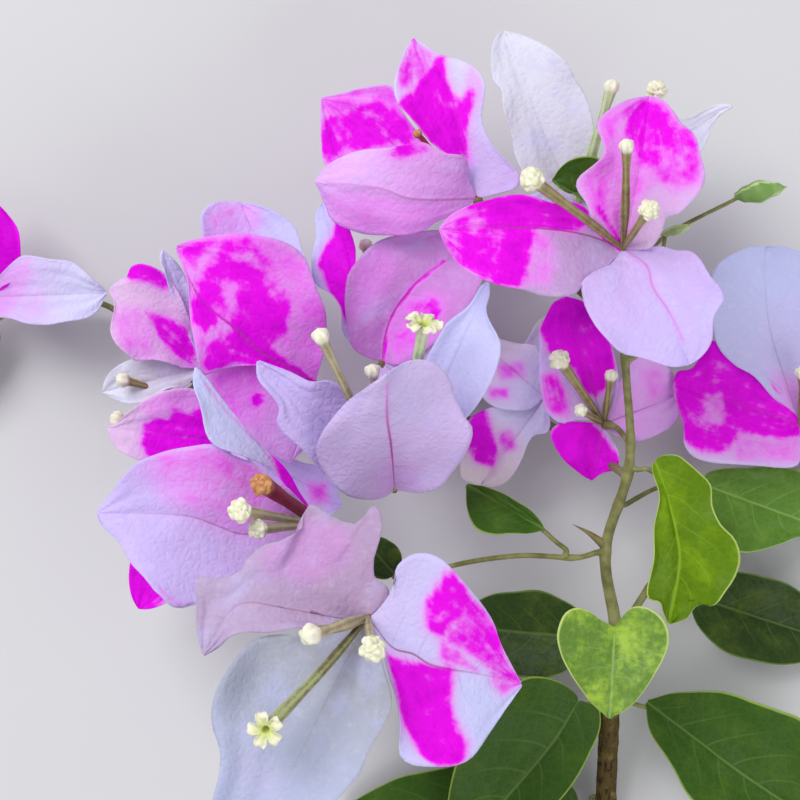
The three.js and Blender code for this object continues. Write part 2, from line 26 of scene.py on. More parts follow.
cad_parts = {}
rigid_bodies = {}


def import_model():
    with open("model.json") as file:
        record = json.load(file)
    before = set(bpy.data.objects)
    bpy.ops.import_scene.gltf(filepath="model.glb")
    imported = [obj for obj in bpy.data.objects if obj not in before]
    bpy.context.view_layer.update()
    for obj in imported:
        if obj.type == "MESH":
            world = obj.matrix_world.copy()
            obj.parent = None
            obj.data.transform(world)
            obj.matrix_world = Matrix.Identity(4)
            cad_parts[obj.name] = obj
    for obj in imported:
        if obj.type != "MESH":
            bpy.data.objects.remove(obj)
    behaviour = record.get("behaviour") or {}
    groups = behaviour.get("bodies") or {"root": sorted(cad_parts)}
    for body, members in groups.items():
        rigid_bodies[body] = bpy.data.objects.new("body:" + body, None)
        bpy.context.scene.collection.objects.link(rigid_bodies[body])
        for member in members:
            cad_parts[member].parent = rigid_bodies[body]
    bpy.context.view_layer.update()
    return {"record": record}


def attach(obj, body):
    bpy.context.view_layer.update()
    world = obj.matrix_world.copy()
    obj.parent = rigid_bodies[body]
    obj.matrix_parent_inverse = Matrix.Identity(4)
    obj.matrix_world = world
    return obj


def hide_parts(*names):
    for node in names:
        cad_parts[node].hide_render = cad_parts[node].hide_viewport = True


log = logging.getLogger("bougainvillea")

Point = tuple[float, float, float]
Spot = tuple[float, float]
Colour = tuple[float, float, float]
Pairs = Sequence[tuple[float, float]]
Socket = bpy.types.NodeSocket
Feed = Union[Socket, float, Colour]

METRES = 0.001  # one millimetre
BODY = "root"
BAKE_MAP = "OFBake"  # the name of the bake map

CUP = 14.0  # degrees that each half of a blade curls, from its midrib to its rim
VEIN_LEAN = 1.3  # the power by which a side vein leans on towards the tip
VEIN_STAGGER = 0.25  # how far each half's side veins are out of step, in spacings
FIVEFOLD = 5  # a flower has five ridges and five lobes
FULLEST_STAIN = 1.3  # a little past deep magenta
CLEARANCE = 0.3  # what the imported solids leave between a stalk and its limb
STALK_ROOT = 0.6  # a stalk leaves its limb at a right angle for this far


def unit(vector: np.ndarray) -> np.ndarray:
    """Give a vector, or each vector of an array, the length one."""
    return vector / np.maximum(np.linalg.norm(vector, axis=-1, keepdims=True), 1e-12)


def smooth(value: np.ndarray | float, low: float, high: float) -> np.ndarray:
    """Rise smoothly from 0 at low to 1 at high."""
    share = np.clip((np.asarray(value, float) - low) / (high - low), 0.0, 1.0)
    return share * share * (3.0 - 2.0 * share)


def eased(pairs: Pairs, share: np.ndarray) -> np.ndarray:
    """Read a profile that eases from each of its values to the next.

    Args:
        pairs: The profile's shares and its values there.
        share: The shares to read it at.

    Returns:
        The value at each share.
    """
    shares, values = (np.array(column, float) for column in zip(*pairs))
    step = np.clip(np.searchsorted(shares, share, side="right") - 1, 0, len(shares) - 2)
    gone = (share - shares[step]) / (shares[step + 1] - shares[step])
    return values[step] + (values[step + 1] - values[step]) * smooth(gone, 0.0, 1.0)


def noise_at(places: np.ndarray, size: float, seed: float) -> np.ndarray:
    """Read smooth noise.

    Args:
        places: Places in millimetres, two numbers each on a sheet or three in space.
        size: The size of the noise's lumps in millimetres.
        seed: Which part of the noise to read.

    Returns:
        The noise at each place, from about -1 to 1.
    """
    flat = places.reshape(-1, places.shape[-1]) / size
    third = flat[:, 2] if flat.shape[1] == 3 else np.zeros(len(flat))
    spots = np.stack([flat[:, 0], flat[:, 1], third + seed], axis=-1)
    values = [noise.noise(Vector(spot)) for spot in spots.tolist()]
    return np.array(values).reshape(places.shape[:-1])


def cells_at(places: np.ndarray, size: float, seed: float) -> np.ndarray:
    """Read how far places on a sheet are from the net of fine veins round them.

    Args:
        places: Places in millimetres, two numbers each.
        size: The size of the net's cells in millimetres.
        seed: Which slice of the net to read.

    Returns:
        0 on a vein, rising to about 1 in the middle of a cell.
    """
    flat = places.reshape(-1, 2) / size
    values = []
    for x, y in flat.tolist():
        near = noise.voronoi(Vector((x, y, seed)))[0]
        values.append(near[1] - near[0])
    return np.array(values).reshape(places.shape[:-1])


class Route:
    """A smooth curve through a few points, read by its length."""

    STEPS = 24

    def __init__(self, points: Iterable[Sequence[float]]) -> None:
        """Lay the curve.

        Args:
            points: The points that the curve passes through, in order.
        """
        knots = [np.array(point, float) for point in points]
        ends = [2 * knots[0] - knots[1], *knots, 2 * knots[-1] - knots[-2]]
        share = np.linspace(0, 1, self.STEPS, endpoint=False)[:, None]
        lines = []
        for a, b, c, d in zip(ends, ends[1:], ends[2:], ends[3:]):
            before, here, after = (math.sqrt(np.linalg.norm(q - p)) for p, q in ((a, b), (b, c), (c, d)))
            leave = ((b - a) / before - (c - a) / (before + here)) * here + (c - b)
            reach = ((d - c) / after - (d - b) / (here + after)) * here + (c - b)
            lines.append(
                b
                + leave * share
                + (3 * (c - b) - 2 * leave - reach) * share**2
                + (2 * (b - c) + leave + reach) * share**3
            )
        self.points = np.vstack([*lines, knots[-1]])
        steps = np.linalg.norm(np.diff(self.points, axis=0), axis=1)
        self.length = float(steps.sum())
        self.shares = np.concatenate([[0.0], np.cumsum(steps)]) / self.length

    def at(self, share: np.ndarray | float) -> np.ndarray:
        """Find the point, or the points, at a share of the length."""
        return np.stack([np.interp(share, self.shares, axis) for axis in self.points.T], axis=-1)

    def heading(self, share: np.ndarray | float) -> np.ndarray:
        """Find the direction of travel at a share of the length."""
        step = 0.01
        return unit(self.at(np.minimum(share + step, 1)) - self.at(np.maximum(share - step, 0)))

    def frames(self, shares: np.ndarray) -> tuple[np.ndarray, np.ndarray, np.ndarray]:
        """Carry two crosswise directions along the curve without a twist.

        Args:
            shares: The shares of the length to give them at.

        Returns:
            The headings and the two directions square to them, an array each.
        """
        headings = self.heading(shares)
        across = np.array((0.31, 0.17, 0.93))  # any direction that no limb runs along
        carried = []
        for heading in headings:
            across = unit(across - heading * across.dot(heading))
            carried.append(across)
        crosswise = np.array(carried)
        return headings, crosswise, np.cross(headings, crosswise)


class Surface:
    """The points, the faces and the paint of one piece, gathered part by part."""

    TUBE_ACROSS = (0.01, 0.99)  # where the side of a tube lies on the bake map
    TUBE_ALONG = (0.01, 0.9)
    FOOT_SPOT = (0.25, 0.95)  # where its two ends lie, above the side
    TIP_SPOT = (0.75, 0.95)
    END_RADIUS = 0.04

    def __init__(self) -> None:
        """Start with nothing."""
        self.points: list[np.ndarray] = []
        self.paint: dict[str, list[np.ndarray]] = {}
        self.faces: list[list[int]] = []
        self.corners: list[np.ndarray] = []
        self.count = 0

    def add_points(self, points: np.ndarray, paint: dict[str, np.ndarray]) -> np.ndarray:
        """Add a grid of points.

        Args:
            points: The grid, in rows and columns.
            paint: Named values for each point, one or three numbers each.

        Returns:
            The points' numbers, in the same rows and columns.
        """
        size = points.shape[0] * points.shape[1]
        numbers = self.count + np.arange(size).reshape(points.shape[:2])
        self.points.append(points.reshape(-1, 3))
        for name, values in paint.items():
            wide = np.broadcast_to(values, (*points.shape[:2], *values.shape[2:]))
            self.paint.setdefault(name, []).append(wide.reshape(size, -1))
        self.count += size
        return numbers

    def add_quads(self, numbers: np.ndarray, places: np.ndarray) -> None:
        """Add the faces of a grid.

        Args:
            numbers: The grid's points, in rows and columns, seen with rows going up.
            places: Each point's place on the bake map.
        """
        parts = [(slice(None, -1), slice(None, -1)), (slice(None, -1), slice(1, None))]
        parts += [(slice(1, None), slice(1, None)), (slice(1, None), slice(None, -1))]
        quads = np.stack([numbers[part] for part in parts], axis=-1).reshape(-1, 4)
        corners = np.stack([places[part] for part in parts], axis=2).reshape(-1, 2)
        self.faces.extend(quads.tolist())
        self.corners.append(corners)

    def add_fan(self, rim: np.ndarray, middle: int, places: np.ndarray, centre: Spot) -> None:
        """Close a ring with triangles to one point in its middle.

        Args:
            rim: The numbers of the ring's points.
            middle: The number of the point in its middle.
            places: The ring's places on the bake map.
            centre: The middle's place there.
        """
        for side in range(len(rim)):
            after = (side + 1) % len(rim)
            self.faces.append([int(rim[side]), int(rim[after]), middle])
            self.corners.append(np.array((places[side], places[after], centre)))

    def add_rings(self, points: np.ndarray, turns: np.ndarray, paint: dict[str, np.ndarray]) -> None:
        """Add a tube of rings and close both its ends.

        Args:
            points: The rings, from the tube's foot to its tip.
            turns: The angle of each side, in radians.
            paint: Named values for each ring and side.
        """
        numbers = self.add_points(points, paint)
        across = np.linspace(*self.TUBE_ACROSS, len(turns) + 1)
        along = np.linspace(*self.TUBE_ALONG, len(points))
        self.add_quads(np.hstack([numbers, numbers[:, :1]]), np.stack(np.meshgrid(across, along), axis=-1))
        circle = self.END_RADIUS * np.stack([np.cos(turns), np.sin(turns)], axis=-1)
        for row, spot, order in ((0, self.FOOT_SPOT, -1), (len(points) - 1, self.TIP_SPOT, 1)):
            own = {name: value[row : row + 1, :1] for name, value in paint.items()}
            middle = self.add_points(points[row].mean(axis=0)[None, None], own)
            places = np.array(spot) + circle[::order]
            self.add_fan(numbers[row][::order], int(middle[0, 0]), places, spot)

    def mesh(self, name: str, shift: np.ndarray) -> bpy.types.Mesh:
        """Make the mesh.

        Args:
            name: The mesh's name.
            shift: From the spray's plan to the frame, in millimetres.

        Returns:
            The mesh, in metres, with its map and its paint.
        """
        mesh = bpy.data.meshes.new(name)
        points = (np.vstack(self.points) + shift) * METRES
        mesh.from_pydata(points.tolist(), [], self.faces)
        layer = mesh.uv_layers.new(name=BAKE_MAP)
        layer.uv.foreach_set("vector", np.vstack(self.corners).astype(np.float32).ravel())
        for key, parts in self.paint.items():
            values = np.vstack(parts).astype(np.float32)
            wide = values.shape[1] == 3
            attribute = mesh.attributes.new(key, "FLOAT_VECTOR" if wide else "FLOAT", "POINT")
            attribute.data.foreach_set("vector" if wide else "value", values.ravel())
        mesh.shade_smooth()
        return mesh


@dataclass(frozen=True)
class Tube:
    """A round limb along a curve, closed at both ends."""

    route: Route
    sides: int
    rows: int

    def shares(self) -> np.ndarray:
        """Give the share of the length at each ring."""
        return np.linspace(0, 1, self.rows)

    def turns(self) -> np.ndarray:
        """Give the angle of each side, in radians."""
        return np.arange(self.sides) * (2 * math.pi / self.sides)

    def skin(self, girth: float = 1.0) -> np.ndarray:
        """Find where noise is read for each ring and side: on a straight tube.

        Args:
            girth: The straight tube's radius, in millimetres.

        Returns:
            Three numbers for each ring and side.
        """
        share, turn = self.shares()[:, None], self.turns()[None, :]
        parts = (girth * np.cos(turn), girth * np.sin(turn), share * self.route.length)
        return np.stack(np.broadcast_arrays(*parts), axis=-1)

    def surface(self, radii: np.ndarray, paint: dict[str, np.ndarray]) -> Surface:
        """Build the limb.

        Args:
            radii: The radius at each ring and side.
            paint: Named values for each ring and side.

        Returns:
            The limb's surface.
        """
        _, across, beside = self.route.frames(self.shares())
        turns = self.turns()[None, :, None]
        spokes = across[:, None] * np.cos(turns) + beside[:, None] * np.sin(turns)
        centres = self.route.at(self.shares())[:, None]
        points = centres + spokes * np.broadcast_to(radii, spokes.shape[:2])[..., None]
        surface = Surface()
        surface.add_rings(points, self.turns(), paint)
        return surface


@dataclass(frozen=True)
class Viewpoint:
    """The camera, which looks straight down at the spray."""

    height: float = 430.0  # above the plane that frame_width is measured on
    frame_width: float = 156.0
    picture: float = 800.0
    nearest: float = 0.01  # metres, where the camera starts to see

    def in_picture(self, points: np.ndarray) -> np.ndarray:
        """Find where points of the spray stand in the picture.

        Args:
            points: Points in the spray's plan.

        Returns:
            Two numbers each, from the picture's upper left corner.
        """
        scale = self.picture / (self.frame_width * (1 - points[..., 2:] / self.height))
        return self.picture / 2 + points[..., :2] * scale * np.array((1.0, -1.0))

    def scale_at(self, heights: np.ndarray) -> np.ndarray:
        """Find how many millimetres a unit of the picture spans at heights of the spray."""
        return self.frame_width * (1 - heights / self.height) / self.picture

    def out_of_picture(self, places: np.ndarray, heights: np.ndarray) -> np.ndarray:
        """Find the points of the spray that stand at places in the picture.

        Args:
            places: Two numbers each, from the picture's upper left corner.
            heights: How high the points are in the spray's plan.

        Returns:
            The points in the spray's plan.
        """
        scale = self.scale_at(heights)[..., None]
        flat = (places - self.picture / 2) * scale * np.array((1.0, -1.0))
        return np.concatenate([flat, heights[..., None]], axis=-1)

    def add_camera(self, shift: np.ndarray) -> None:
        """Create the camera and make it the scene's.

        Args:
            shift: From the spray's plan to the frame, in millimetres.
        """
        lens = bpy.data.cameras.new("camera")
        lens.sensor_fit = "HORIZONTAL"
        lens.angle = 2 * math.atan(self.frame_width / 2 / self.height)
        lens.clip_start = self.nearest
        camera = bpy.data.objects.new("camera", lens)
        camera.location = Vector(((shift + np.array((0, 0, self.height))) * METRES).tolist())
        bpy.context.scene.collection.objects.link(camera)
        bpy.context.scene.camera = camera


VIEW = Viewpoint()


def seen(across: float, down: float, height: float) -> Point:
    """Find the point at a height that stands at a place in the picture."""
    x, y, z = VIEW.out_of_picture(np.array((across, down)), np.array(height, float)).tolist()
    return x, y, z


def gap_to_line(line: Sequence[Spot], places: np.ndarray) -> np.ndarray:
    """Find how far places in the picture are from a line.

    Args:
        line: The spots that the line joins.
        places: Two numbers each.

    Returns:
        Each place's distance to the nearest part of the line.
    """
    start = np.array(line[:-1], float)
    edges = np.array(line[1:], float) - start
    offset = places[..., None, :] - start
    share = np.clip((offset * edges).sum(-1) / (edges * edges).sum(-1), 0, 1)
    return np.linalg.norm(offset - edges * share[..., None], axis=-1).min(-1)


@dataclass(frozen=True)
class Patch:
    """A stained area of a bract: its outline in the picture, its strength and its soft edge.

    A strength near 0.4 is pink, 0.8 is magenta and 1 is deep magenta. Below 0 it bleaches.
    """

    outline: tuple[Spot, ...]
    strength: float = 0.85
    soft: float = 10.0

    HALO_REACH = 2.2  # how far the pale halo spreads, in soft edges
    HALO_SHARE = 0.32  # the halo's share of the strength

    def level(self, places: np.ndarray) -> np.ndarray:
        """Find the stain, with a pale halo round it.

        Args:
            places: Places in the picture.

        Returns:
            The stain's strength at each place.
        """
        gap = gap_to_line((*self.outline, self.outline[0]), places)
        corners = np.array(self.outline, float)
        after = np.roll(corners, -1, axis=0)
        x, y = places[..., None, 0], places[..., None, 1]
        spans = (corners[:, 1] > y) != (after[:, 1] > y)
        drop = after[:, 1] - corners[:, 1]
        slope = (after[:, 0] - corners[:, 0]) / np.where(drop == 0, 1e-9, drop)
        hits = spans & (x < corners[:, 0] + slope * (y - corners[:, 1]))
        depth = np.where(hits.sum(-1) % 2 == 1, gap, -gap)
        core = smooth(depth, -self.soft / 2, self.soft / 2)
        halo = smooth(depth, -self.HALO_REACH * self.soft, self.soft / 2)
        return self.strength * (core + (halo - core) * self.HALO_SHARE)


@dataclass(frozen=True)
class Streak:
    """A stained line on a bract: its route in the picture, its width, its strength and its soft edge."""

    route: tuple[Spot, ...]
    width: float
    strength: float = 0.85
    soft: float = 5.0

    def level(self, places: np.ndarray) -> np.ndarray:
        """Find the stain at places in the picture."""
        depth = self.width / 2 - gap_to_line(self.route, places)
        return self.strength * smooth(depth, -self.soft / 2, self.soft / 2)


Stain = Union[Patch, Streak]


def stained(stains: Sequence[Stain], places: np.ndarray) -> np.ndarray:
    """Lay stains over each other: the strongest shows, and bleached ones lighten it.

    Args:
        stains: The stains of a bract.
        places: Places in the picture.

    Returns:
        The strength of the stain at each place.
    """
    strongest = np.zeros(places.shape[:-1])
    bleached = np.zeros(places.shape[:-1])
    for stain in stains:
        level = stain.level(places)
        strongest = np.maximum(strongest, level)
        bleached = np.minimum(bleached, level)
    return np.clip(strongest + bleached, 0, FULLEST_STAIN)


class Tone(Enum):
    """A bract's ground under its stains: its colours at the foot and at the tip."""

    WHITE = ((0.60, 0.58, 0.68), (0.70, 0.70, 0.82))
    ICE = ((0.60, 0.52, 0.84), (0.57, 0.59, 0.90))
    # painted shade: a white ground greyed for a bract that lies partly in shade
    WHITE_IN_SHADE = ((0.37, 0.38, 0.44), (0.45, 0.49, 0.70))
    SKY = ((0.54, 0.50, 0.80), (0.55, 0.58, 0.88))
    LAVENDER = ((0.60, 0.43, 0.80), (0.59, 0.48, 0.88))
    LILAC = ((0.60, 0.44, 0.80), (0.64, 0.63, 0.89))
    PALE = ((0.60, 0.44, 0.76), (0.62, 0.50, 0.82))
    MAUVE = ((0.47, 0.29, 0.56), (0.54, 0.39, 0.66))
    # painted shade: a mauve ground greyed for a bract that lies in shade
    MAUVE_IN_SHADE = ((0.44, 0.30, 0.48), (0.48, 0.37, 0.56))
    PETAL = ((0.68, 0.46, 0.74), (0.68, 0.34, 0.78))
    BLUSH = ((0.70, 0.40, 0.74), (0.74, 0.50, 0.76))
    DUSK = ((0.50, 0.19, 0.54), (0.60, 0.28, 0.66))
    ROSE = ((0.60, 0.22, 0.64), (0.66, 0.33, 0.76))
    PINK = ((0.72, 0.33, 0.80), (0.78, 0.44, 0.90))
    CREAM = ((0.60, 0.58, 0.84), (0.76, 0.64, 0.70))


class FlowerKind(Enum):
    """Whether a flower shows its star, has curled it up to a clump, or is still a knob."""

    OPEN = "open"
    CLUMP = "clump"
    BUD = "bud"


@dataclass(frozen=True)
class Form:
    """The sheet of a kind of blade.

    Attributes:
        rows: Rows of points from the foot to the tip.
        columns: Columns of points from rim to rim, an odd number so that one is the midrib.
        thickness: The sheet's thickness at the midrib.
        rise: The power that rounds the foot.
        fall: The power that draws out the tip.
        foot: The least width at the foot, as a share of the blade's.
        ribs: How many side veins leave the midrib on each side.
        slant: How far a side vein runs on along the blade by the time it meets the rim.
        groove: How deep the midrib lies.
        puff: How far the tissue swells between its fine veins.
        net: The size of the net of fine veins.
    """

    rows: int
    columns: int
    thickness: float
    rise: float
    fall: float
    foot: float
    ribs: float
    slant: float
    groove: float
    puff: float
    net: float


BRACT = Form(
    rows=54, columns=39, thickness=0.3, rise=0.42, fall=0.6, foot=0.07, ribs=6, slant=0.26, groove=0.16,
    puff=0.15, net=2.8,
)
LEAF = Form(
    rows=54, columns=39, thickness=0.34, rise=0.5, fall=0.8, foot=0.07, ribs=6, slant=0.3, groove=0.34,
    puff=0.14, net=3.0,
)
HEART_LEAF = replace(LEAF, rows=58, columns=41, ribs=5, groove=0.3, puff=0.12)


@dataclass(frozen=True)
class Trace:
    """A blade's outline as it stands in the picture, each line from the foot to the tip.

    The lines leave out the foot and the tip themselves.
    """

    left: tuple[Spot, ...]
    right: tuple[Spot, ...]
    midrib: tuple[Spot, ...] = ()

    ENDS = (0.012, 0.992)  # the rims stay a little apart at the foot and the tip

    def lay(
        self, ends: Sequence[Point], share: np.ndarray, across: np.ndarray
    ) -> tuple[np.ndarray, np.ndarray]:
        """Spread the sheet between the rims.

        Args:
            ends: The foot and the tip.
            share: The rows' shares of the length, in one column.
            across: The columns' places from rim to rim, in one row.

        Returns:
            Each point's place in the picture and its distance from the midrib there.
        """
        foot, tip = VIEW.in_picture(np.array(ends, float))
        low, high = self.ENDS
        along = low + (high - low) * share[:, 0]
        left, right, midrib = (
            Route([foot, *line, tip]).at(along)[:, None] for line in (self.left, self.right, self.midrib)
        )
        reach = (np.where(across[..., None] < 0, left, right) - midrib) * np.abs(across)[..., None]
        return midrib + reach, np.linalg.norm(reach, axis=-1)


@dataclass(frozen=True)
class Blade:
    """The shape of a bract or a leaf, from its foot to its tip.

    Angles are in degrees, width is in millimetres, and the rest are shares of the blade's length.

    Attributes:
        tip: Where the blade ends.
        width: Its width at the widest place, where no trace gives it.
        fold: How far both halves rise off the midrib.
        roll: How far the blade turns about its midrib.
        arch: How far the midrib bows towards the side that the blade faces.
        sway: How far the midrib bows sideways, where no trace gives it.
        facing: The direction that the blade's upper side faces.
        ruffle: The height of the waves along each rim, in millimetres.
        crumple: The height of the broad dents in the sheet, in millimetres.
        trace: The outline in the picture, if it was read there.
    """

    tip: Point
    width: float = 20.0
    fold: float = 0.0
    roll: float = 0.0
    arch: float = 0.0
    sway: float = 0.0
    facing: Point = (0.0, 0.0, 1.0)
    ruffle: float = 0.45
    crumple: float = 0.5
    trace: Trace | None = None

    COLUMN_POWER = 1.15  # crowds the columns towards the midrib
    TIP_WIDTH = 0.012  # what is left of the width at the tip
    GROWN = 0.25  # the share of the blade over which its relief grows
    WAVES = 3.0  # waves along each rim
    WAVE_STAGGER = 0.31  # how far each rim's waves are out of step
    DENT = 9.0  # the size of the broad dents, in millimetres
    FAN = (3.2, 1.5)  # dents across and along a blade, which fan out with it
    SWELLINGS = (4.5, 2.0)  # the sizes of the tissue's coarse and fine swellings, in millimetres
    MIDRIB_WIDTH = 0.55  # of the midrib's groove, in millimetres
    VEIN_WIDTH = 0.1  # of a side vein's groove, in spacings of the veins
    RIM_LOSS = 0.6  # the share of the thickness that is gone at the rim
    MAP_HALF = 0.46  # how much of the bake map's width each face takes
    MAP_EDGE = 0.02  # what stays free along the map's edges
    MAP_RIM = 0.015  # the width of the strips that the rims take

    def width_at(self, form: Form, share: np.ndarray) -> np.ndarray:
        """Find the width of a blade that has no trace.

        Args:
            form: The sheet of this kind of blade.
            share: Shares of the blade's length.

        Returns:
            The width at each share, in millimetres.
        """
        peak = form.rise / (form.rise + form.fall)
        highest = peak**form.rise * (1 - peak) ** form.fall
        least = form.foot * (1 - smooth(share, 0.0, 0.5)) + self.TIP_WIDTH
        return self.width * np.maximum(least, share**form.rise * (1 - share) ** form.fall / highest)

    def spread(
        self, form: Form, foot: Point, share: np.ndarray, across: np.ndarray
    ) -> tuple[np.ndarray, np.ndarray]:
        """Lay out the middle of the blade's sheet, still smooth.

        Args:
            form: The sheet of this kind of blade.
            foot: Where the blade starts.
            share: The rows' shares of the length, in one column.
            across: The columns' places from rim to rim, in one row.

        Returns:
            The sheet's points, and how far each is to the right of the midrib.
        """
        edge, side = np.abs(across), np.sign(across)
        start = np.array(foot, float)
        chord = np.array(self.tip, float) - start
        length = float(np.linalg.norm(chord))
        along = chord / length
        face = np.array(self.facing, float)
        face = unit(face - along * face.dot(along))
        turn = math.radians(self.roll)
        face = face * math.cos(turn) + np.cross(along, face) * math.sin(turn)
        slope = np.arctan(self.arch * 4 * (1 - 2 * share))[..., None]
        normal = face * np.cos(slope) - along * np.sin(slope)
        bow = length * 4 * share * (1 - share)
        if self.trace:
            places, distance = self.trace.lay((foot, self.tip), share, across)
            reach = distance * VIEW.scale_at(start[2] + chord[2] * share + face[2] * self.arch * bow)
        else:
            reach = edge * self.width_at(form, share) / 2
        lift = np.radians(self.fold + CUP * edge / 2)
        sideways = self.sway * bow + side * reach * np.cos(lift)
        points = (
            start
            + chord * share[..., None]
            + face * (self.arch * bow)[..., None]
            + np.cross(along, face) * sideways[..., None]
            + normal * (reach * np.sin(lift))[..., None]
        )
        if self.trace:
            points = VIEW.out_of_picture(places, points[..., 2])
        return points, side * reach

    def relief(
        self, form: Form, share: np.ndarray, across: np.ndarray, places: np.ndarray, seed: float
    ) -> np.ndarray:
        """Find how the sheet swells and sinks: in ruffled rims, dents, swellings and veins.

        Args:
            form: The sheet of this kind of blade.
            share: The rows' shares of the length, in one column.
            across: The columns' places from rim to rim, in one row.
            places: Each point's distance along the midrib and to its right, in millimetres.
            seed: Which slice of the noise roughens it.

        Returns:
            The height of each point above the smooth sheet, in millimetres.
        """
        edge, side = np.abs(across), np.sign(across)
        turns = 2 * math.pi * (self.WAVES * share + self.WAVE_STAGGER * side + seed)
        waves = self.ruffle * edge**3 * np.sin(turns) * (1 - 0.5 * smooth(share, 0.8, 1))
        fan = np.stack(np.broadcast_arrays(self.FAN[0] * across, self.FAN[1] * share), axis=-1)
        dents = noise_at(places, self.DENT, seed + 9) + 0.7 * noise_at(fan, 1.0, seed + 5)
        coarse, fine = self.SWELLINGS
        swellings = noise_at(places, coarse, seed) + 0.5 * noise_at(places, fine, seed + 3)
        swellings = swellings + np.minimum(1.2 * cells_at(places, form.net, seed), 0.8)
        phase = form.ribs * (share - form.slant * edge**VEIN_LEAN) + VEIN_STAGGER * side
        gap = np.abs(phase - np.round(phase)) / self.VEIN_WIDTH
        veins = 0.4 * np.exp(-(gap**2)) * (1 - edge) * smooth(edge, 0, 0.1)
        midrib = np.exp(-((places[..., 1] / self.MIDRIB_WIDTH) ** 2)) * (1 - 0.6 * share)
        return waves + self.crumple * dents + form.puff * swellings - form.groove * (veins + midrib)

    def sheet(self, form: Form, foot: Point, seed: float) -> dict[str, np.ndarray]:
        """Lay out the middle of the blade's sheet, with its relief.

        Args:
            form: The sheet of this kind of blade.
            foot: Where the blade starts.
            seed: Which slice of the noise roughens it.

        Returns:
            The sheet's points and normals, and the share, the side and the reach at each point.
        """
        share = ((1 - np.cos(np.linspace(0, math.pi, form.rows))) / 2)[:, None]
        spacing = np.linspace(-1, 1, form.columns)[None, :]
        across = np.sign(spacing) * np.abs(spacing) ** self.COLUMN_POWER
        points, reach = self.spread(form, foot, share, across)
        places = np.stack(np.broadcast_arrays(share * math.dist(foot, self.tip), reach), axis=-1)
        relief = self.relief(form, share, across, places, seed) * smooth(share, 0.0, self.GROWN)
        level = points + self.normals(points) * relief[..., None]
        return {
            "points": level,
            "normals": self.normals(level),
            "share": np.broadcast_to(share, level.shape[:2]),
            "across": np.broadcast_to(across, level.shape[:2]),
            "reach": reach,
        }

    @staticmethod
    def normals(points: np.ndarray) -> np.ndarray:
        """Find the direction square to a sheet at each of its points."""
        along, beside = np.gradient(points, axis=0), np.gradient(points, axis=1)
        return unit(np.cross(beside, along))

    def surface(self, form: Form, sheet: dict[str, np.ndarray], paint: dict[str, np.ndarray]) -> Surface:
        """Thicken the sheet to a closed blade, thinner towards its rim.

        Args:
            form: The sheet of this kind of blade.
            sheet: The middle of the sheet, from the sheet method.
            paint: More named values for each point.

        Returns:
            The blade's surface.
        """
        across, share = sheet["across"], sheet["share"]
        depth = form.thickness / 2 * (1 - self.RIM_LOSS * np.abs(across) ** 6)
        surface = Surface()
        numbers = {}
        for face in (1.0, -1.0):
            place = np.stack([share, across, np.full_like(share, face)], axis=-1)
            own = {"place": place, "reach": sheet["reach"], **paint}
            points = sheet["points"] + sheet["normals"] * (face * depth)[..., None]
            numbers[face] = surface.add_points(points, own)
        columns = self.MAP_HALF * (across + 1) / 2
        rows = self.MAP_EDGE + (1 - 2 * self.MAP_EDGE) * share
        upper = np.stack([self.MAP_EDGE + columns, rows], axis=-1)
        under = np.stack([1 - self.MAP_EDGE - columns, rows], axis=-1)
        surface.add_quads(numbers[1.0], upper)
        surface.add_quads(numbers[-1.0][:, ::-1], under[:, ::-1])
        self.close_rims(surface, numbers[1.0], numbers[-1.0], upper, under)
        return surface

    def close_rims(
        self, surface: Surface, top: np.ndarray, low: np.ndarray, upper: np.ndarray, under: np.ndarray
    ) -> None:
        """Join the two faces of a blade round their rims.

        Args:
            surface: The surface that has both faces.
            top: The points of the upper face.
            low: The points of the lower face.
            upper: The upper face's places on the bake map.
            under: The lower face's places there.
        """
        right = np.stack([top[:, -1], low[:, -1]], 1)
        surface.add_quads(right, np.stack([upper[:, -1], under[:, -1]], 1))
        beside, below = np.array((self.MAP_RIM, 0.0)), np.array((0.0, self.MAP_RIM))
        left = np.stack([low[:, 0], top[:, 0]], 1)
        surface.add_quads(left, np.stack([upper[:, 0] - beside, upper[:, 0]], 1))
        surface.add_quads(np.stack([low[0], top[0]]), np.stack([upper[0] - below, upper[0]]))
        surface.add_quads(np.stack([top[-1], low[-1]]), np.stack([upper[-1], upper[-1] + below]))


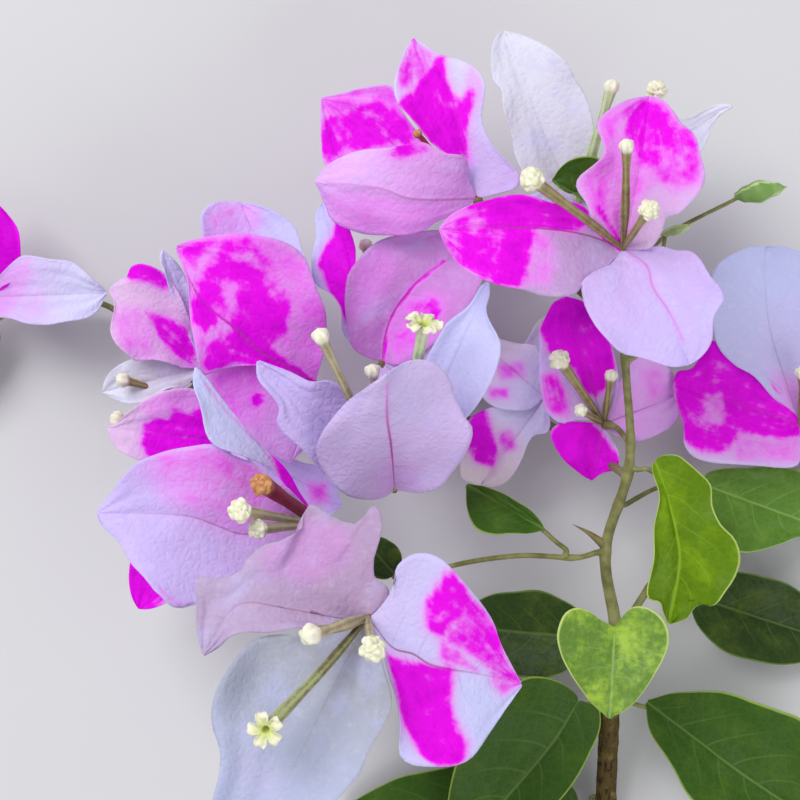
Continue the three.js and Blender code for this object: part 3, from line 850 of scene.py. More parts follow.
class Graph:
    """The nodes of one material, which read the paint of the mesh."""

    STREAKS = (3.0, 7.0, 1.0)  # how many streaks lie along a blade, across it and between its faces
    HALFWAY = 20.5  # half a spacing of the veins, and whole ones enough to stay above zero

    def __init__(self, name: str) -> None:
        """Start a material with one shader.

        Args:
            name: The material's name.
        """
        self.material = bpy.data.materials.new(name)
        self.material.use_nodes = True
        self.tree = self.material.node_tree
        self.tree.nodes.clear()
        self.shader = self.node("BsdfPrincipled", {})
        self.node("OutputMaterial", {"Surface": self.shader.outputs["BSDF"]})
        self.coordinates = self.node("TexCoord", {}).outputs["Object"]

    def node(self, kind: str, feeds: dict[int | str, Feed], **settings: str) -> bpy.types.Node:
        """Add a node.

        Args:
            kind: Its kind, without the words ShaderNode.
            feeds: What goes into its sockets, by their numbers or names.
            settings: Its own settings.

        Returns:
            The node.
        """
        node = self.tree.nodes.new(f"ShaderNode{kind}")
        for name, setting in settings.items():
            setattr(node, name, setting)
        for socket, value in feeds.items():
            self.feed(node.inputs[socket], value)
        return node

    def feed(self, socket: Socket, value: Feed) -> None:
        """Link another socket in, or set a value.

        Args:
            socket: The socket that takes it.
            value: The other socket, a number, a colour or three numbers.
        """
        if isinstance(value, Socket):
            self.tree.links.new(value, socket)
        elif isinstance(value, tuple) and len(socket.default_value) == 4:
            socket.default_value = (*value, 1.0)
        else:
            socket.default_value = value

    def value(self, name: str) -> Socket:
        """Read a paint of one number."""
        return self.node("Attribute", {}, attribute_name=name).outputs["Fac"]

    def vector(self, name: str) -> list[Socket]:
        """Read a paint of three numbers."""
        paint = self.node("Attribute", {}, attribute_name=name).outputs["Vector"]
        return list(self.node("SeparateXYZ", {0: paint}).outputs)

    def colour(self, name: str) -> Socket:
        """Read a paint of three numbers as a colour."""
        return self.node("Attribute", {}, attribute_name=name).outputs["Color"]

    def math(self, operation: str, first: Feed, second: Feed = 0.0) -> Socket:
        """Work out one step of arithmetic."""
        return self.node("Math", {0: first, 1: second}, operation=operation).outputs[0]

    def times(self, first: Feed, second: Feed) -> Socket:
        """Multiply two values."""
        return self.math("MULTIPLY", first, second)

    def total(self, *values: Feed) -> Socket:
        """Add values up."""
        return reduce(lambda first, second: self.math("ADD", first, second), values)

    def smooth(self, value: Feed, low: float, high: float, start: float = 0.0, end: float = 1.0) -> Socket:
        """Go smoothly from start at low to end at high."""
        feeds = {"Value": value, "From Min": low, "From Max": high, "To Min": start, "To Max": end}
        return self.node("MapRange", feeds, interpolation_type="SMOOTHSTEP").outputs["Result"]

    def mix(self, share: Feed, low: Feed, high: Feed) -> Socket:
        """Mix two colours."""
        return self.node("Mix", {0: share, 6: low, 7: high}, data_type="RGBA").outputs[2]

    def noise_in(self, place: Socket, scale: float, detail: float) -> Socket:
        """Read noise at places, from -0.5 to 0.5."""
        node = self.node("TexNoise", {"Vector": place, "Scale": scale, "Detail": detail})
        return self.math("SUBTRACT", node.outputs[0], 0.5)

    def noise(self, size: float, detail: float = 2.0) -> Socket:
        """Read noise whose lumps are about a size in millimetres."""
        return self.noise_in(self.coordinates, 1 / (size * METRES), detail)

    def grain(self, size: float, detail: float, stretch: Point) -> Socket:
        """Read noise that is drawn out where the stretch is under 1."""
        stretched = self.node("Mapping", {"Vector": self.coordinates, "Scale": stretch}).outputs["Vector"]
        return self.noise_in(stretched, 1 / (size * METRES), detail)

    def streaks(self) -> Socket:
        """Read noise that runs along a blade, fans out with it and differs from bract to bract.

        Returns:
            The noise, from -0.5 to 0.5.
        """
        place = self.node("Attribute", {}, attribute_name="place").outputs["Vector"]
        spread = self.node("Mapping", {"Vector": place, "Scale": self.STREAKS}).outputs["Vector"]
        moved = self.node("VectorMath", {0: spread, 1: self.colour("ground")}).outputs["Vector"]
        return self.noise_in(moved, 1.0, 3.0)

    def cells(self, size: float) -> Socket:
        """Read the distance to a net whose cells are about a size in millimetres, in cells."""
        feeds = {"Vector": self.coordinates, "Scale": 1 / (size * METRES)}
        return self.node("TexVoronoi", feeds, feature="DISTANCE_TO_EDGE").outputs["Distance"]

    def bump(self, height: Feed, depth: float, strength: float) -> Socket:
        """Give the surface a fine relief, of a depth in millimetres."""
        feeds = {"Strength": strength, "Distance": depth * METRES, "Height": height}
        return self.node("Bump", feeds).outputs["Normal"]

    def side_veins(self, share: Socket, across: Socket, form: Form) -> Socket:
        """Find the side veins, where the blade's own relief has them.

        Args:
            share: The share of the blade's length.
            across: The place from rim to rim.
            form: The sheet of this kind of blade.

        Returns:
            The distance to the nearest side vein, in spacings of the veins.
        """
        leaned = self.times(self.math("POWER", self.math("ABSOLUTE", across), VEIN_LEAN), form.slant)
        phase = self.times(self.math("SUBTRACT", share, leaned), form.ribs)
        phase = self.total(phase, self.times(self.math("SIGN", across), VEIN_STAGGER))
        gap = self.math("FRACT", self.math("ADD", phase, self.HALFWAY))
        return self.math("ABSOLUTE", self.math("SUBTRACT", gap, 0.5))

    def dress(self, colour: Feed, rough: Feed, normal: Socket | None, **fixed: float) -> None:
        """Feed the shader.

        Args:
            colour: The base colour.
            rough: The roughness.
            normal: The relief, if there is one.
            fixed: Values of the shader's other sockets, with _ for each space in a name.
        """
        self.feed(self.shader.inputs["Base Color"], colour)
        self.feed(self.shader.inputs["Roughness"], rough)
        if normal is not None:
            self.feed(self.shader.inputs["Normal"], normal)
        for name, number in fixed.items():
            self.feed(self.shader.inputs[name.replace("_", " ")], number)


@dataclass(frozen=True)
class BractFinish:
    """Papery bracts: a pale ground with magenta stains that melt into it by way of pink."""

    cold: Colour = (0.52, 0.52, 0.90)
    chalk: Colour = (0.86, 0.84, 0.92)
    light_pink: Colour = (0.80, 0.23, 0.84)
    magenta: Colour = (0.78, 0.004, 0.76)
    deep: Colour = (0.55, 0.0, 0.58)
    rib: Colour = (0.28, 0.05, 0.14)
    rough: float = 0.6

    def material(self) -> bpy.types.Material:
        """Build the material, which reads the ground, the stain and the midrib from the paint.

        Returns:
            The material.
        """
        graph = Graph("bract")
        share, across, _ = graph.vector("place")
        edge = graph.math("ABSOLUTE", across)
        blotch, fleck = graph.noise(1.9), graph.noise(0.6)
        cold = graph.smooth(graph.noise(6.0), -0.02, 0.24, 0.0, 0.3)
        ground = graph.mix(cold, graph.colour("ground"), self.cold)
        papery = graph.total(
            graph.smooth(blotch, 0.0, 0.3, 0.0, 0.08),
            graph.smooth(graph.noise(1.1, 3.0), 0.0, 0.25, 0.0, 0.08),
        )
        ground = graph.mix(papery, ground, self.chalk)
        level = graph.total(self.stain(graph, blotch, fleck), graph.smooth(edge, 0.93, 1.0, 0.0, -0.12))
        colour = graph.mix(graph.smooth(level, 0.0, 0.55), ground, self.light_pink)
        colour = graph.mix(graph.smooth(level, 0.34, 0.8), colour, self.magenta)
        colour = graph.mix(graph.smooth(level, 0.8, 1.35), colour, self.deep)
        colour = graph.mix(self.veins(graph, share, across), colour, self.rib)
        relief = graph.total(graph.smooth(graph.cells(1.5), 0.0, 0.3), graph.times(fleck, 1.5))
        graph.dress(colour, self.rough, graph.bump(relief, 0.08, 0.65), Specular_IOR_Level=0.06)
        return graph.material

    @staticmethod
    def stain(graph: Graph, blotch: Socket, fleck: Socket) -> Socket:
        """Break the stain up, most where it is neither faint nor full.

        Args:
            graph: The material's nodes.
            blotch: Noise of coarse lumps.
            fleck: Noise of fine lumps.

        Returns:
            The strength of the stain.
        """
        stain = graph.value("stain")
        broken = graph.total(
            graph.times(blotch, 0.7),
            graph.times(fleck, 0.15),
            graph.times(graph.noise(4.5, 1.0), 0.7),
            graph.times(graph.streaks(), 0.7),
        )
        broken = graph.times(broken, graph.smooth(stain, 0.1, 0.8))
        broken = graph.times(broken, graph.smooth(stain, 0.86, 1.0, 1.0, 0.5))
        return graph.total(stain, broken)

    @staticmethod
    def veins(graph: Graph, share: Socket, across: Socket) -> Socket:
        """Find how far the midrib and the side veins darken the bract.

        Args:
            graph: The material's nodes.
            share: The share of the blade's length.
            across: The place from rim to rim.

        Returns:
            The share of the midrib's colour.
        """
        rib, edge = graph.value("rib"), graph.math("ABSOLUTE", across)
        reach = graph.math("ABSOLUTE", graph.value("reach"))
        midrib = graph.times(rib, graph.smooth(reach, 0.05, 0.34, 0.85, 0.0))
        midrib = graph.times(midrib, graph.smooth(share, 0.3, 1.0, 1.0, 0.1))
        gap = graph.side_veins(share, across, BRACT)
        side = graph.times(graph.smooth(gap, 0.01, 0.05, 0.16, 0.0), rib)
        side = graph.times(side, graph.smooth(edge, 0.05, 0.6, 1.0, 0.0))
        return graph.math("MAXIMUM", midrib, side)


@dataclass(frozen=True)
class LeafFinish:
    """Leaves: a green that drifts between two colours, with pale veins and a light rim."""

    name: str
    green: Colour
    light: Colour
    vein: Colour
    rim: Colour
    mottle: float
    rough: float

    def material(self) -> bpy.types.Material:
        """Build the material.

        Returns:
            The material.
        """
        graph = Graph(self.name)
        share, across, face = graph.vector("place")
        edge = graph.math("ABSOLUTE", across)
        drift, fleck = graph.noise(6.0), graph.noise(1.1, 3.0)
        light = graph.total(
            0.5 - 0.4 * (1 - self.mottle), graph.times(drift, 1.4), graph.times(fleck, 1.6 * self.mottle)
        )
        colour = graph.mix(graph.smooth(light, 0.1, 0.9), self.green, self.light)
        midrib = graph.smooth(graph.math("ABSOLUTE", graph.value("reach")), 0.1, 0.42, 0.5, 0.0)
        gap = graph.side_veins(share, across, LEAF)
        side = graph.times(graph.smooth(gap, 0.015, 0.06, 0.24, 0.0), graph.smooth(edge, 0.3, 0.9, 1.0, 0.1))
        cells = graph.cells(1.6)
        net = graph.smooth(cells, 0.0, 0.09, 0.09, 0.0)
        veins = graph.math("MAXIMUM", graph.math("MAXIMUM", midrib, side), net)
        colour = graph.mix(veins, colour, self.vein)
        colour = graph.mix(graph.smooth(edge, 0.955, 0.985, 0.0, 0.8), colour, self.rim)
        under = graph.smooth(face, -0.2, 0.2, 0.45, 0.0)
        colour = graph.mix(under, colour, self.vein)
        relief = graph.total(graph.smooth(cells, 0.0, 0.3), graph.times(fleck, 0.6))
        rough = graph.total(graph.times(drift, 0.2), self.rough)
        graph.dress(colour, rough, graph.bump(relief, 0.06, 0.6), Specular_IOR_Level=0.16)
        return graph.material


@dataclass(frozen=True)
class StemFinish:
    """Limbs: rough brown bark that gives way to smooth olive green wood higher up."""

    bark: Colour = (0.085, 0.055, 0.012)
    crack: Colour = (0.02, 0.013, 0.003)
    grey: Colour = (0.22, 0.17, 0.055)
    green: Colour = (0.125, 0.135, 0.035)
    sunlit: Colour = (0.27, 0.28, 0.10)
    blush: Colour = (0.17, 0.07, 0.045)
    pith: Colour = (0.62, 0.53, 0.32)

    def material(self) -> bpy.types.Material:
        """Build the material, which reads bark, blush and cut wood from the paint.

        Returns:
            The material.
        """
        graph = Graph("stem")
        bark, blush, cut = graph.vector("paint")
        grain = graph.grain(0.7, 4.0, (1.0, 0.22, 1.0))
        patches, speck = graph.noise(2.6, 3.0), graph.noise(0.35)
        old = graph.mix(graph.smooth(grain, -0.16, 0.02), self.crack, self.bark)
        old = graph.mix(graph.smooth(patches, 0.02, 0.2, 0.0, 0.7), old, self.grey)
        young = graph.mix(graph.smooth(patches, -0.2, 0.2), self.green, self.sunlit)
        young = graph.mix(graph.smooth(speck, 0.18, 0.26, 0.0, 0.35), young, self.grey)
        young = graph.mix(blush, young, self.blush)
        worn = graph.smooth(graph.total(bark, graph.times(patches, 0.8)), 0.3, 0.7)
        colour = graph.mix(cut, graph.mix(worn, young, old), self.pith)
        relief = graph.total(graph.times(grain, 1.5), graph.times(speck, 0.5))
        rough = graph.smooth(worn, 0.0, 1.0, 0.5, 0.85)
        graph.dress(colour, rough, graph.bump(relief, 0.16, 0.8), Specular_IOR_Level=0.3)
        return graph.material


@dataclass(frozen=True)
class FlowerFinish:
    """Tube flowers: a coloured tube, a cream star or knob, and a yellow-green throat."""

    name: str
    tube: Colour
    tube_light: Colour
    head: Colour = (0.72, 0.72, 0.48)
    tip: Colour = (0.86, 0.83, 0.68)
    throat: Colour = (0.50, 0.60, 0.06)
    rough: float = 0.6

    def material(self) -> bpy.types.Material:
        """Build the material, which reads the head, the throat and the ridges from the paint.

        Returns:
            The material.
        """
        graph = Graph(self.name)
        head, throat, ridge = graph.vector("paint")
        patches, speck = graph.noise(1.6, 3.0), graph.noise(0.35)
        light = graph.total(ridge, patches, graph.times(speck, 0.5))
        tube = graph.mix(graph.smooth(light, 0.0, 0.9), self.tube, self.tube_light)
        top = graph.mix(graph.smooth(graph.total(ridge, patches), 0.1, 0.7), self.head, self.tip)
        colour = graph.mix(throat, graph.mix(head, tube, top), self.throat)
        normal = graph.bump(graph.total(patches, speck), 0.12, 0.8)
        graph.dress(colour, self.rough, normal, Specular_IOR_Level=0.3, Sheen_Weight=0.1)
        return graph.material


@dataclass(frozen=True)
class ShootFinish:
    """Closed shoots: pale green folded bracts with lighter rims."""

    green: Colour = (0.16, 0.30, 0.07)
    pale: Colour = (0.52, 0.66, 0.28)
    rough: float = 0.5

    def material(self) -> bpy.types.Material:
        """Build the material, which reads how pale a place is from the paint.

        Returns:
            The material.
        """
        graph = Graph("shoot")
        patches, fine = graph.noise(1.6, 3.0), graph.noise(0.4)
        level = graph.total(graph.value("pale"), graph.times(patches, 0.8))
        colour = graph.mix(graph.smooth(level, 0.15, 0.95), self.green, self.pale)
        normal = graph.bump(graph.total(patches, fine), 0.1, 0.7)
        graph.dress(colour, self.rough, normal, Specular_IOR_Level=0.4)
        return graph.material


class LeafTone(Enum):
    """A leaf's finish."""

    BRIGHT = LeafFinish(
        "leaf_bright", (0.095, 0.19, 0.002), (0.19, 0.34, 0.003), (0.30, 0.46, 0.03), (0.50, 0.62, 0.18),
        0.3, 0.45,
    )
    MOTTLED = LeafFinish(
        "leaf_mottled", (0.12, 0.23, 0.035), (0.33, 0.51, 0.05), (0.33, 0.48, 0.16), (0.58, 0.72, 0.22),
        0.7, 0.42,
    )
    MIDDLE = LeafFinish(
        "leaf_middle", (0.09, 0.20, 0.022), (0.17, 0.32, 0.05), (0.28, 0.44, 0.12), (0.36, 0.50, 0.18),
        0.3, 0.42,
    )
    DEEP = LeafFinish(
        "leaf_deep", (0.034, 0.092, 0.007), (0.078, 0.15, 0.012), (0.15, 0.26, 0.055), (0.30, 0.44, 0.08),
        0.25, 0.48,
    )
    # painted shade: near-black greens for leaves that lie in deep shade
    IN_SHADE = LeafFinish(
        "leaf_in_shade", (0.022, 0.05, 0.008), (0.07, 0.11, 0.012), (0.12, 0.18, 0.04), (0.15, 0.24, 0.05),
        0.4, 0.45,
    )


class FlowerTone(Enum):
    """A flower's finish, named for the colour of its tube."""

    OLIVE = FlowerFinish("flower_olive", (0.17, 0.11, 0.045), (0.36, 0.30, 0.13))
    STRAW = FlowerFinish("flower_straw", (0.27, 0.21, 0.12), (0.50, 0.44, 0.28))
    GREEN = FlowerFinish("flower_green", (0.12, 0.095, 0.045), (0.33, 0.36, 0.16))
    MINT = FlowerFinish("flower_mint", (0.30, 0.38, 0.17), (0.54, 0.64, 0.38))
    RED = FlowerFinish(
        "flower_red", (0.14, 0.004, 0.02), (0.28, 0.01, 0.06), (0.45, 0.15, 0.05), (0.60, 0.30, 0.12),
        (0.18, 0.03, 0.01),
    )


class Spray:
    """The whole spray: its place in the frame, its finishes, its limbs and its pieces."""

    SEED_STEP = 7.31  # from one piece's slice of the noise to the next one's
    INSIDE = 0.3  # how far off a limb's middle a stalk starts, as a share of the radius
    OVERLAP = 0.5  # how far inside a limb's end the limb that carries on from it starts

    def __init__(self, shift: np.ndarray) -> None:
        """Prepare the finishes.

        Args:
            shift: From the spray's plan to the frame, in millimetres.
        """
        self.shift = shift
        self.seed = 0.0
        self.routes: dict[str, tuple[Route, Pairs]] = {}
        self.forks: dict[str, set[float]] = {}
        self.bract = BractFinish().material()
        self.stem = StemFinish().material()
        self.shoot = ShootFinish().material()
        self.leaves = {tone: tone.value.material() for tone in LeafTone}
        self.flowers = {tone: tone.value.material() for tone in FlowerTone}

    def next_seed(self) -> float:
        """Give the next piece its own slice of the noise."""
        self.seed += self.SEED_STEP
        return self.seed

    def add(self, name: str, surface: Surface, material: bpy.types.Material, slot: str, node: str) -> None:
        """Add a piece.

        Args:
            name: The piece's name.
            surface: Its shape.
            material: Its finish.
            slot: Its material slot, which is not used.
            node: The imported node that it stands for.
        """
        mesh = surface.mesh(name, self.shift)
        mesh.materials.append(material)
        piece = bpy.data.objects.new(name, mesh)
        bpy.context.scene.collection.objects.link(piece)
        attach(piece, BODY)
        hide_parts(node)
        log.info("%s: %d faces, stands for %s", name, len(surface.faces), node)

    def radius(self, limb: str, share: float) -> float:
        """Find a limb's radius at a share of its length."""
        shares, values = zip(*self.routes[limb][1])
        return float(np.interp(share, shares, values))

    def root(self, limb: str, share: float, towards: Sequence[float]) -> list[np.ndarray]:
        """Find where a stalk or a bough leaves the limb that carries it.

        Args:
            limb: The carrying limb's name.
            share: How far along that limb the stalk leaves it.
            towards: The next point that the stalk passes.

        Returns:
            A point inside the limb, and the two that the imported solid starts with.
        """
        route = self.routes[limb][0]
        centre, heading = route.at(share), route.heading(share)
        self.forks.setdefault(limb, set()).add(share)
        if share == 1:
            start, inside = centre + heading * CLEARANCE, centre - heading * self.OVERLAP
            return [inside, start, start + heading * STALK_ROOT]
        outward = np.array(towards, float) - centre
        outward = unit(outward - heading * outward.dot(heading))
        radius = self.radius(limb, share)
        start = centre + outward * (CLEARANCE + radius)
        return [centre + outward * (self.INSIDE * radius), start, start + outward * STALK_ROOT]


@dataclass(frozen=True)
class Limb:
    """A stem or a bough, from its thick end.

    Attributes:
        name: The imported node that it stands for.
        slot: Its material slot.
        route: The points that it passes.
        radii: Its radius, as pairs of share and radius.
        fork: The limb that it leaves and how far along that limb, if it leaves one.
        bark: How much bark covers it, as pairs of share and cover.
        thorns: Each thorn's share along the limb and its tip.
    """

    name: str
    slot: str
    route: tuple[Point, ...]
    radii: Pairs
    fork: tuple[str, float] | None = None
    bark: Pairs = ((0.0, 0.0), (1.0, 0.0))
    thorns: tuple[tuple[float, Point], ...] = ()

    SIDES = 32
    RING_SPACING = 0.55
    LEAST_RINGS = 40
    KNOT = (0.15, 1.3)  # a swelling where a stalk leaves: its height and its reach along the limb
    FOOT = (0.35, 0.9)  # the same where the limb itself leaves another
    FLUTES = 5  # faint ridges round the limb, which twist as they rise
    TWIST = 4.0  # radians
    FLUTE_DEPTH = 0.03  # as a share of the radius
    ROUGH = (0.012, 0.16)  # the unevenness of green wood, and what bark adds to it
    GRAIN = (1.0, 1.0, 0.35)  # draws the coarse unevenness out along the limb
    BLUSH = 0.1
    THORN_RADII = (1.0, 0.05)  # at its foot and at its tip
    THORN_BEND = (0.0, 0.35, 0.0)  # how far its middle bends towards the crown

    def settle(self, spray: Spray) -> None:
        """Lay the limb's curve, so that others can be carried on it."""
        root = spray.root(*self.fork, self.route[0])[1:] if self.fork else []
        spray.routes[self.name] = Route([*root, *self.route]), self.radii

    def build(self, spray: Spray) -> None:
        """Build the limb with its bark, its knots and its thorns.

        Args:
            spray: The spray that it belongs to.
        """
        route = spray.routes[self.name][0]
        if self.fork:
            route = Route([*spray.root(*self.fork, self.route[0]), *self.route])
        tube = Tube(route, self.SIDES, max(self.LEAST_RINGS, int(route.length / self.RING_SPACING)))
        share, turn = tube.shares()[:, None], tube.turns()[None, :]
        radius = np.interp(share, *zip(*self.radii))
        height, reach = self.KNOT
        for at in sorted(spray.forks.get(self.name, set())):
            radius = radius + height * np.exp(-(((share - at) * route.length / reach) ** 2))
        if self.fork:
            height, reach = self.FOOT
            radius = radius + height * np.exp(-share * route.length / reach)
        bark = np.interp(share, *zip(*self.bark))
        skin, seed = tube.skin(2.0), spray.next_seed()
        rough = noise_at(skin * np.array(self.GRAIN), 0.9, seed) + 0.5 * noise_at(skin, 0.8, seed + 3)
        flutes = self.FLUTE_DEPTH * np.cos(self.FLUTES * turn + self.TWIST * share)
        least, more = self.ROUGH
        radius = radius * (1 + flutes) + rough * (least + more * bark)
        cut = np.zeros_like(radius)
        if not self.fork:
            cut[0] = 1.0
        paint = np.stack(np.broadcast_arrays(bark, self.BLUSH, cut), axis=-1)
        spray.add(self.name, tube.surface(radius, {"paint": paint}), spray.stem, self.slot, self.name)
        for number, (at, tip) in enumerate(self.thorns, 1):
            self.build_thorn(spray, f"{self.name}_thorn_{number}", route.at(at), tip)

    def build_thorn(self, spray: Spray, name: str, root: np.ndarray, tip: Point) -> None:
        """Build a thorn that bends a little towards the crown.

        Args:
            spray: The spray that it belongs to.
            name: The piece's name.
            root: Where it starts, in the limb's middle.
            tip: Where it ends.
        """
        middle = (root + np.array(tip)) / 2 + np.array(self.THORN_BEND)
        tube = Tube(Route([root, middle, tip]), 16, 24)
        share = tube.shares()[:, None] + 0 * tube.turns()[None, :]
        wide, thin = self.THORN_RADII
        radius = thin + (wide - thin) * (1 - share) ** 1.2
        paint = np.stack([0.15 * share, 0.2 + 0.5 * share, 0 * share], axis=-1)
        spray.add(name, tube.surface(radius, {"paint": paint}), spray.stem, self.slot, self.name)


@dataclass(frozen=True)
class Stalk:
    """What carries a bloom, a leaf or a shoot: from a limb, by way of one point."""

    limb: str
    share: float
    via: Point

    SIDES = 18
    RING_SPACING = 0.5
    LEAST_RINGS = 24
    FOOT = (0.25, 0.7)  # the swelling where it leaves its limb: its height and its reach
    UNEVEN = 0.08  # as a share of the radius
    BLUSH = 0.6  # at the upper end of a bloom's stalk

    def route(self, spray: Spray, end: Sequence[float]) -> Route:
        """Lay the stalk's curve from inside its limb to its end."""
        return Route([*spray.root(self.limb, self.share, self.via), self.via, end])

    def build(self, spray: Spray, name: str, node: str, slot: str, end: Point, profile: Pairs) -> None:
        """Build the stalk.

        Args:
            spray: The spray that it belongs to.
            name: The piece's name.
            node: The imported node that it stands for.
            slot: Its material slot.
            end: Where it ends.
            profile: Its radius, as pairs of share and radius.
        """
        route = self.route(spray, end)
        tube = Tube(route, self.SIDES, max(self.LEAST_RINGS, int(route.length / self.RING_SPACING)))
        share, turn = tube.shares()[:, None], tube.turns()[None, :]
        height, reach = self.FOOT
        radius = eased(profile, share) + height * np.exp(-share * route.length / reach)
        radius = radius * (1 + self.UNEVEN * noise_at(tube.skin(), 0.9, spray.next_seed()))
        blush = smooth(share, 0.55, 1.0) * (self.BLUSH if slot == "bract" else 0.0) + 0 * turn
        paint = np.stack([0 * blush, blush, 0 * blush], axis=-1)
        spray.add(name, tube.surface(radius, {"paint": paint}), spray.stem, slot, node)


@dataclass(frozen=True)
class Bract:
    """A papery bract: its blade, its ground colour, how dark its midrib is and its stains."""

    blade: Blade
    tone: Tone = Tone.LAVENDER
    rib: float = 0.35
    stains: tuple[Stain, ...] = ()

    def build(self, spray: Spray, name: str, node: str, foot: Point) -> None:
        """Build the bract.

        Args:
            spray: The spray that it belongs to.
            name: The piece's name.
            node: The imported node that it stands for.
            foot: Where its bloom's organs meet.
        """
        sheet = self.blade.sheet(BRACT, foot, spray.next_seed())
        stain = stained(self.stains, VIEW.in_picture(sheet["points"]))
        foot_colour, tip_colour = (np.array(colour) for colour in self.tone.value)
        ground = foot_colour + (tip_colour - foot_colour) * smooth(sheet["share"], 0.1, 0.9)[..., None]
        own = {"ground": ground, "stain": stain, "rib": np.full_like(stain, self.rib)}
        spray.add(name, self.blade.surface(BRACT, sheet, own), spray.bract, "bract", node)


@dataclass(frozen=True)
class Flower:
    """A slim tube flower, whose sizes are millimetres before size and head scale them.

    Attributes:
        mouth: Where its tube ends.
        kind: Whether it is open, a clump or a bud.
        tone: Its tube's colour.
        size: How thick its tube is beside the usual.
        head: How large its knob or its star is beside the usual.
        look: How far a star turns up from the heading of its tube.
        via: A point that the tube passes, if it doesn't bow in the usual way.
    """

    mouth: Point
    kind: FlowerKind
    tone: FlowerTone = FlowerTone.OLIVE
    size: float = 1.0
    head: float = 1.0
    look: float = 0.4
    via: Point | None = None

    BEND = (0.45, 0.05)  # where it bows up, and by what share of its length
    SIDES = 40
    TURNS = np.arange(SIDES) * (2 * math.pi / SIDES)
    OPEN_TUBE = ((0.0, 0.4), (0.1, 0.52), (0.35, 0.74), (0.62, 0.76), (0.9, 0.98), (1.0, 1.12))
    OPEN_RINGS = 36
    STAR = 2.85  # the star's radius
    MOUTH = 1.12
    THROAT = 0.62
    LOBES = 24  # round lobes of a clump
    LOBE_TURN = 2.4  # radians round the clump from each lobe to the next, which scatters them evenly
    LOBE_REACH = (1.15, 1.5)  # how far their middles are from the clump's
    LOBE_SIZE = (0.58, 0.86)  # their radii
    CREASE = 0.1  # the width of the creases between them
    BUD_TUBE = (
        (0.0, 0.42), (0.1, 0.62), (0.38, 0.9), (0.7, 0.72), (0.83, 0.95), (0.92, 1.55), (0.97, 1.35),
        (1.0, 0.3),
    )
    BUD_RINGS = 60
    KNOB = 3.4  # the length of a bud's knob
    NECK = 0.83  # where the knob starts on BUD_TUBE
    THINNEST = 0.05

    def build(self, spray: Spray, name: str, node: str, foot: Point) -> None:
        """Build the flower.

        Args:
            spray: The spray that it belongs to.
            name: The piece's name.
            node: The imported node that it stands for.
            foot: Where its bloom's organs meet.
        """
        start, end = np.array(foot, float), np.array(self.mouth, float)
        at, lift = self.BEND
        middle = start + (end - start) * at
        middle[2] += np.linalg.norm(end - start) * lift
        route = Route([start, middle if self.via is None else self.via, end])
        shape = {FlowerKind.OPEN: self.star, FlowerKind.CLUMP: self.clump, FlowerKind.BUD: self.bud}
        surface = shape[self.kind](route, spray.next_seed())
        spray.add(name, surface, spray.flowers[self.tone], "bract", node)

    def bud(self, route: Route, seed: float) -> Surface:
        """Build a closed flower, a tube that ends in a ridged knob.

        Args:
            route: The tube's curve.
            seed: Which slice of the noise roughens it.

        Returns:
            The flower's surface.
        """
        tube = Tube(route, self.SIDES, self.BUD_RINGS)
        share, turn = tube.shares()[:, None], tube.turns()[None, :]
        neck = max(0.6, 1 - self.KNOB * self.head / route.length)
        place = np.interp(share, (0, neck, 1), (0, self.NECK, 1))
        head = smooth(place, 0.84, 0.9) + 0 * turn
        radius = eased(self.BUD_TUBE, place) * (self.size + (self.head - self.size) * head)
        ridge = np.cos(FIVEFOLD * (turn + 1.2 * share))
        lumps = noise_at(tube.skin(1.3), 0.6, seed) * (0.02 + 0.2 * head)
        radius = radius * (1 + ridge * (0.04 + 0.06 * head)) + lumps
        paint = np.stack([head, 0 * head, 0.25 + 0.25 * ridge + 0.4 * place], axis=-1)
        return tube.surface(np.maximum(radius, self.THINNEST), {"paint": paint})

    def top(self, route: Route, spread: np.ndarray, raised: np.ndarray, throat: np.ndarray) -> Surface:
        """Put a head on an open tube.

        Args:
            route: The tube's curve.
            spread: How far the head's rings stand off its axis at each side, from the tube inwards.
            raised: How far they stand above the mouth.
            throat: How much of the throat's colour they show; on a clump it is painted shade between the
                lobes.

        Returns:
            The flower's surface.
        """
        shares, turn = np.linspace(0, 1, self.OPEN_RINGS), self.TURNS
        headings, across, _ = route.frames(shares)
        out = unit(headings[-1] * (1 - self.look) + np.array((0.0, 0.0, self.look)))
        bend = smooth(shares, 0.8, 1.0)[:, None]
        turned = unit(headings * (1 - bend) + out * bend)
        across = unit(across - turned * (across * turned).sum(-1, keepdims=True))
        beside = np.cross(turned, across)
        spokes = across[:, None] * np.cos(turn)[:, None] + beside[:, None] * np.sin(turn)[:, None]
        centre, ridge = route.at(shares), np.cos(FIVEFOLD * turn)
        tube = self.size * eased(self.OPEN_TUBE, shares)[:, None] * (1 + 0.05 * ridge)
        head = centre[-1] + self.head * (spokes[-1] * spread[..., None] + out * raised[..., None])
        points = np.vstack([centre[:, None] + spokes * tube[..., None], head])
        pale = np.vstack([0.6 * smooth(shares, 0.92, 1.0)[:, None] + 0 * turn, 0 * spread + 1.0])
        light = np.vstack([0.15 + 0.2 * ridge + 0.6 * shares[:, None], 0.5 + 0.25 * ridge + 0 * spread])
        paint = np.stack([pale, np.vstack([0 * tube, throat]), light], axis=-1)
        surface = Surface()
        surface.add_rings(points, turn, {"paint": paint})
        return surface

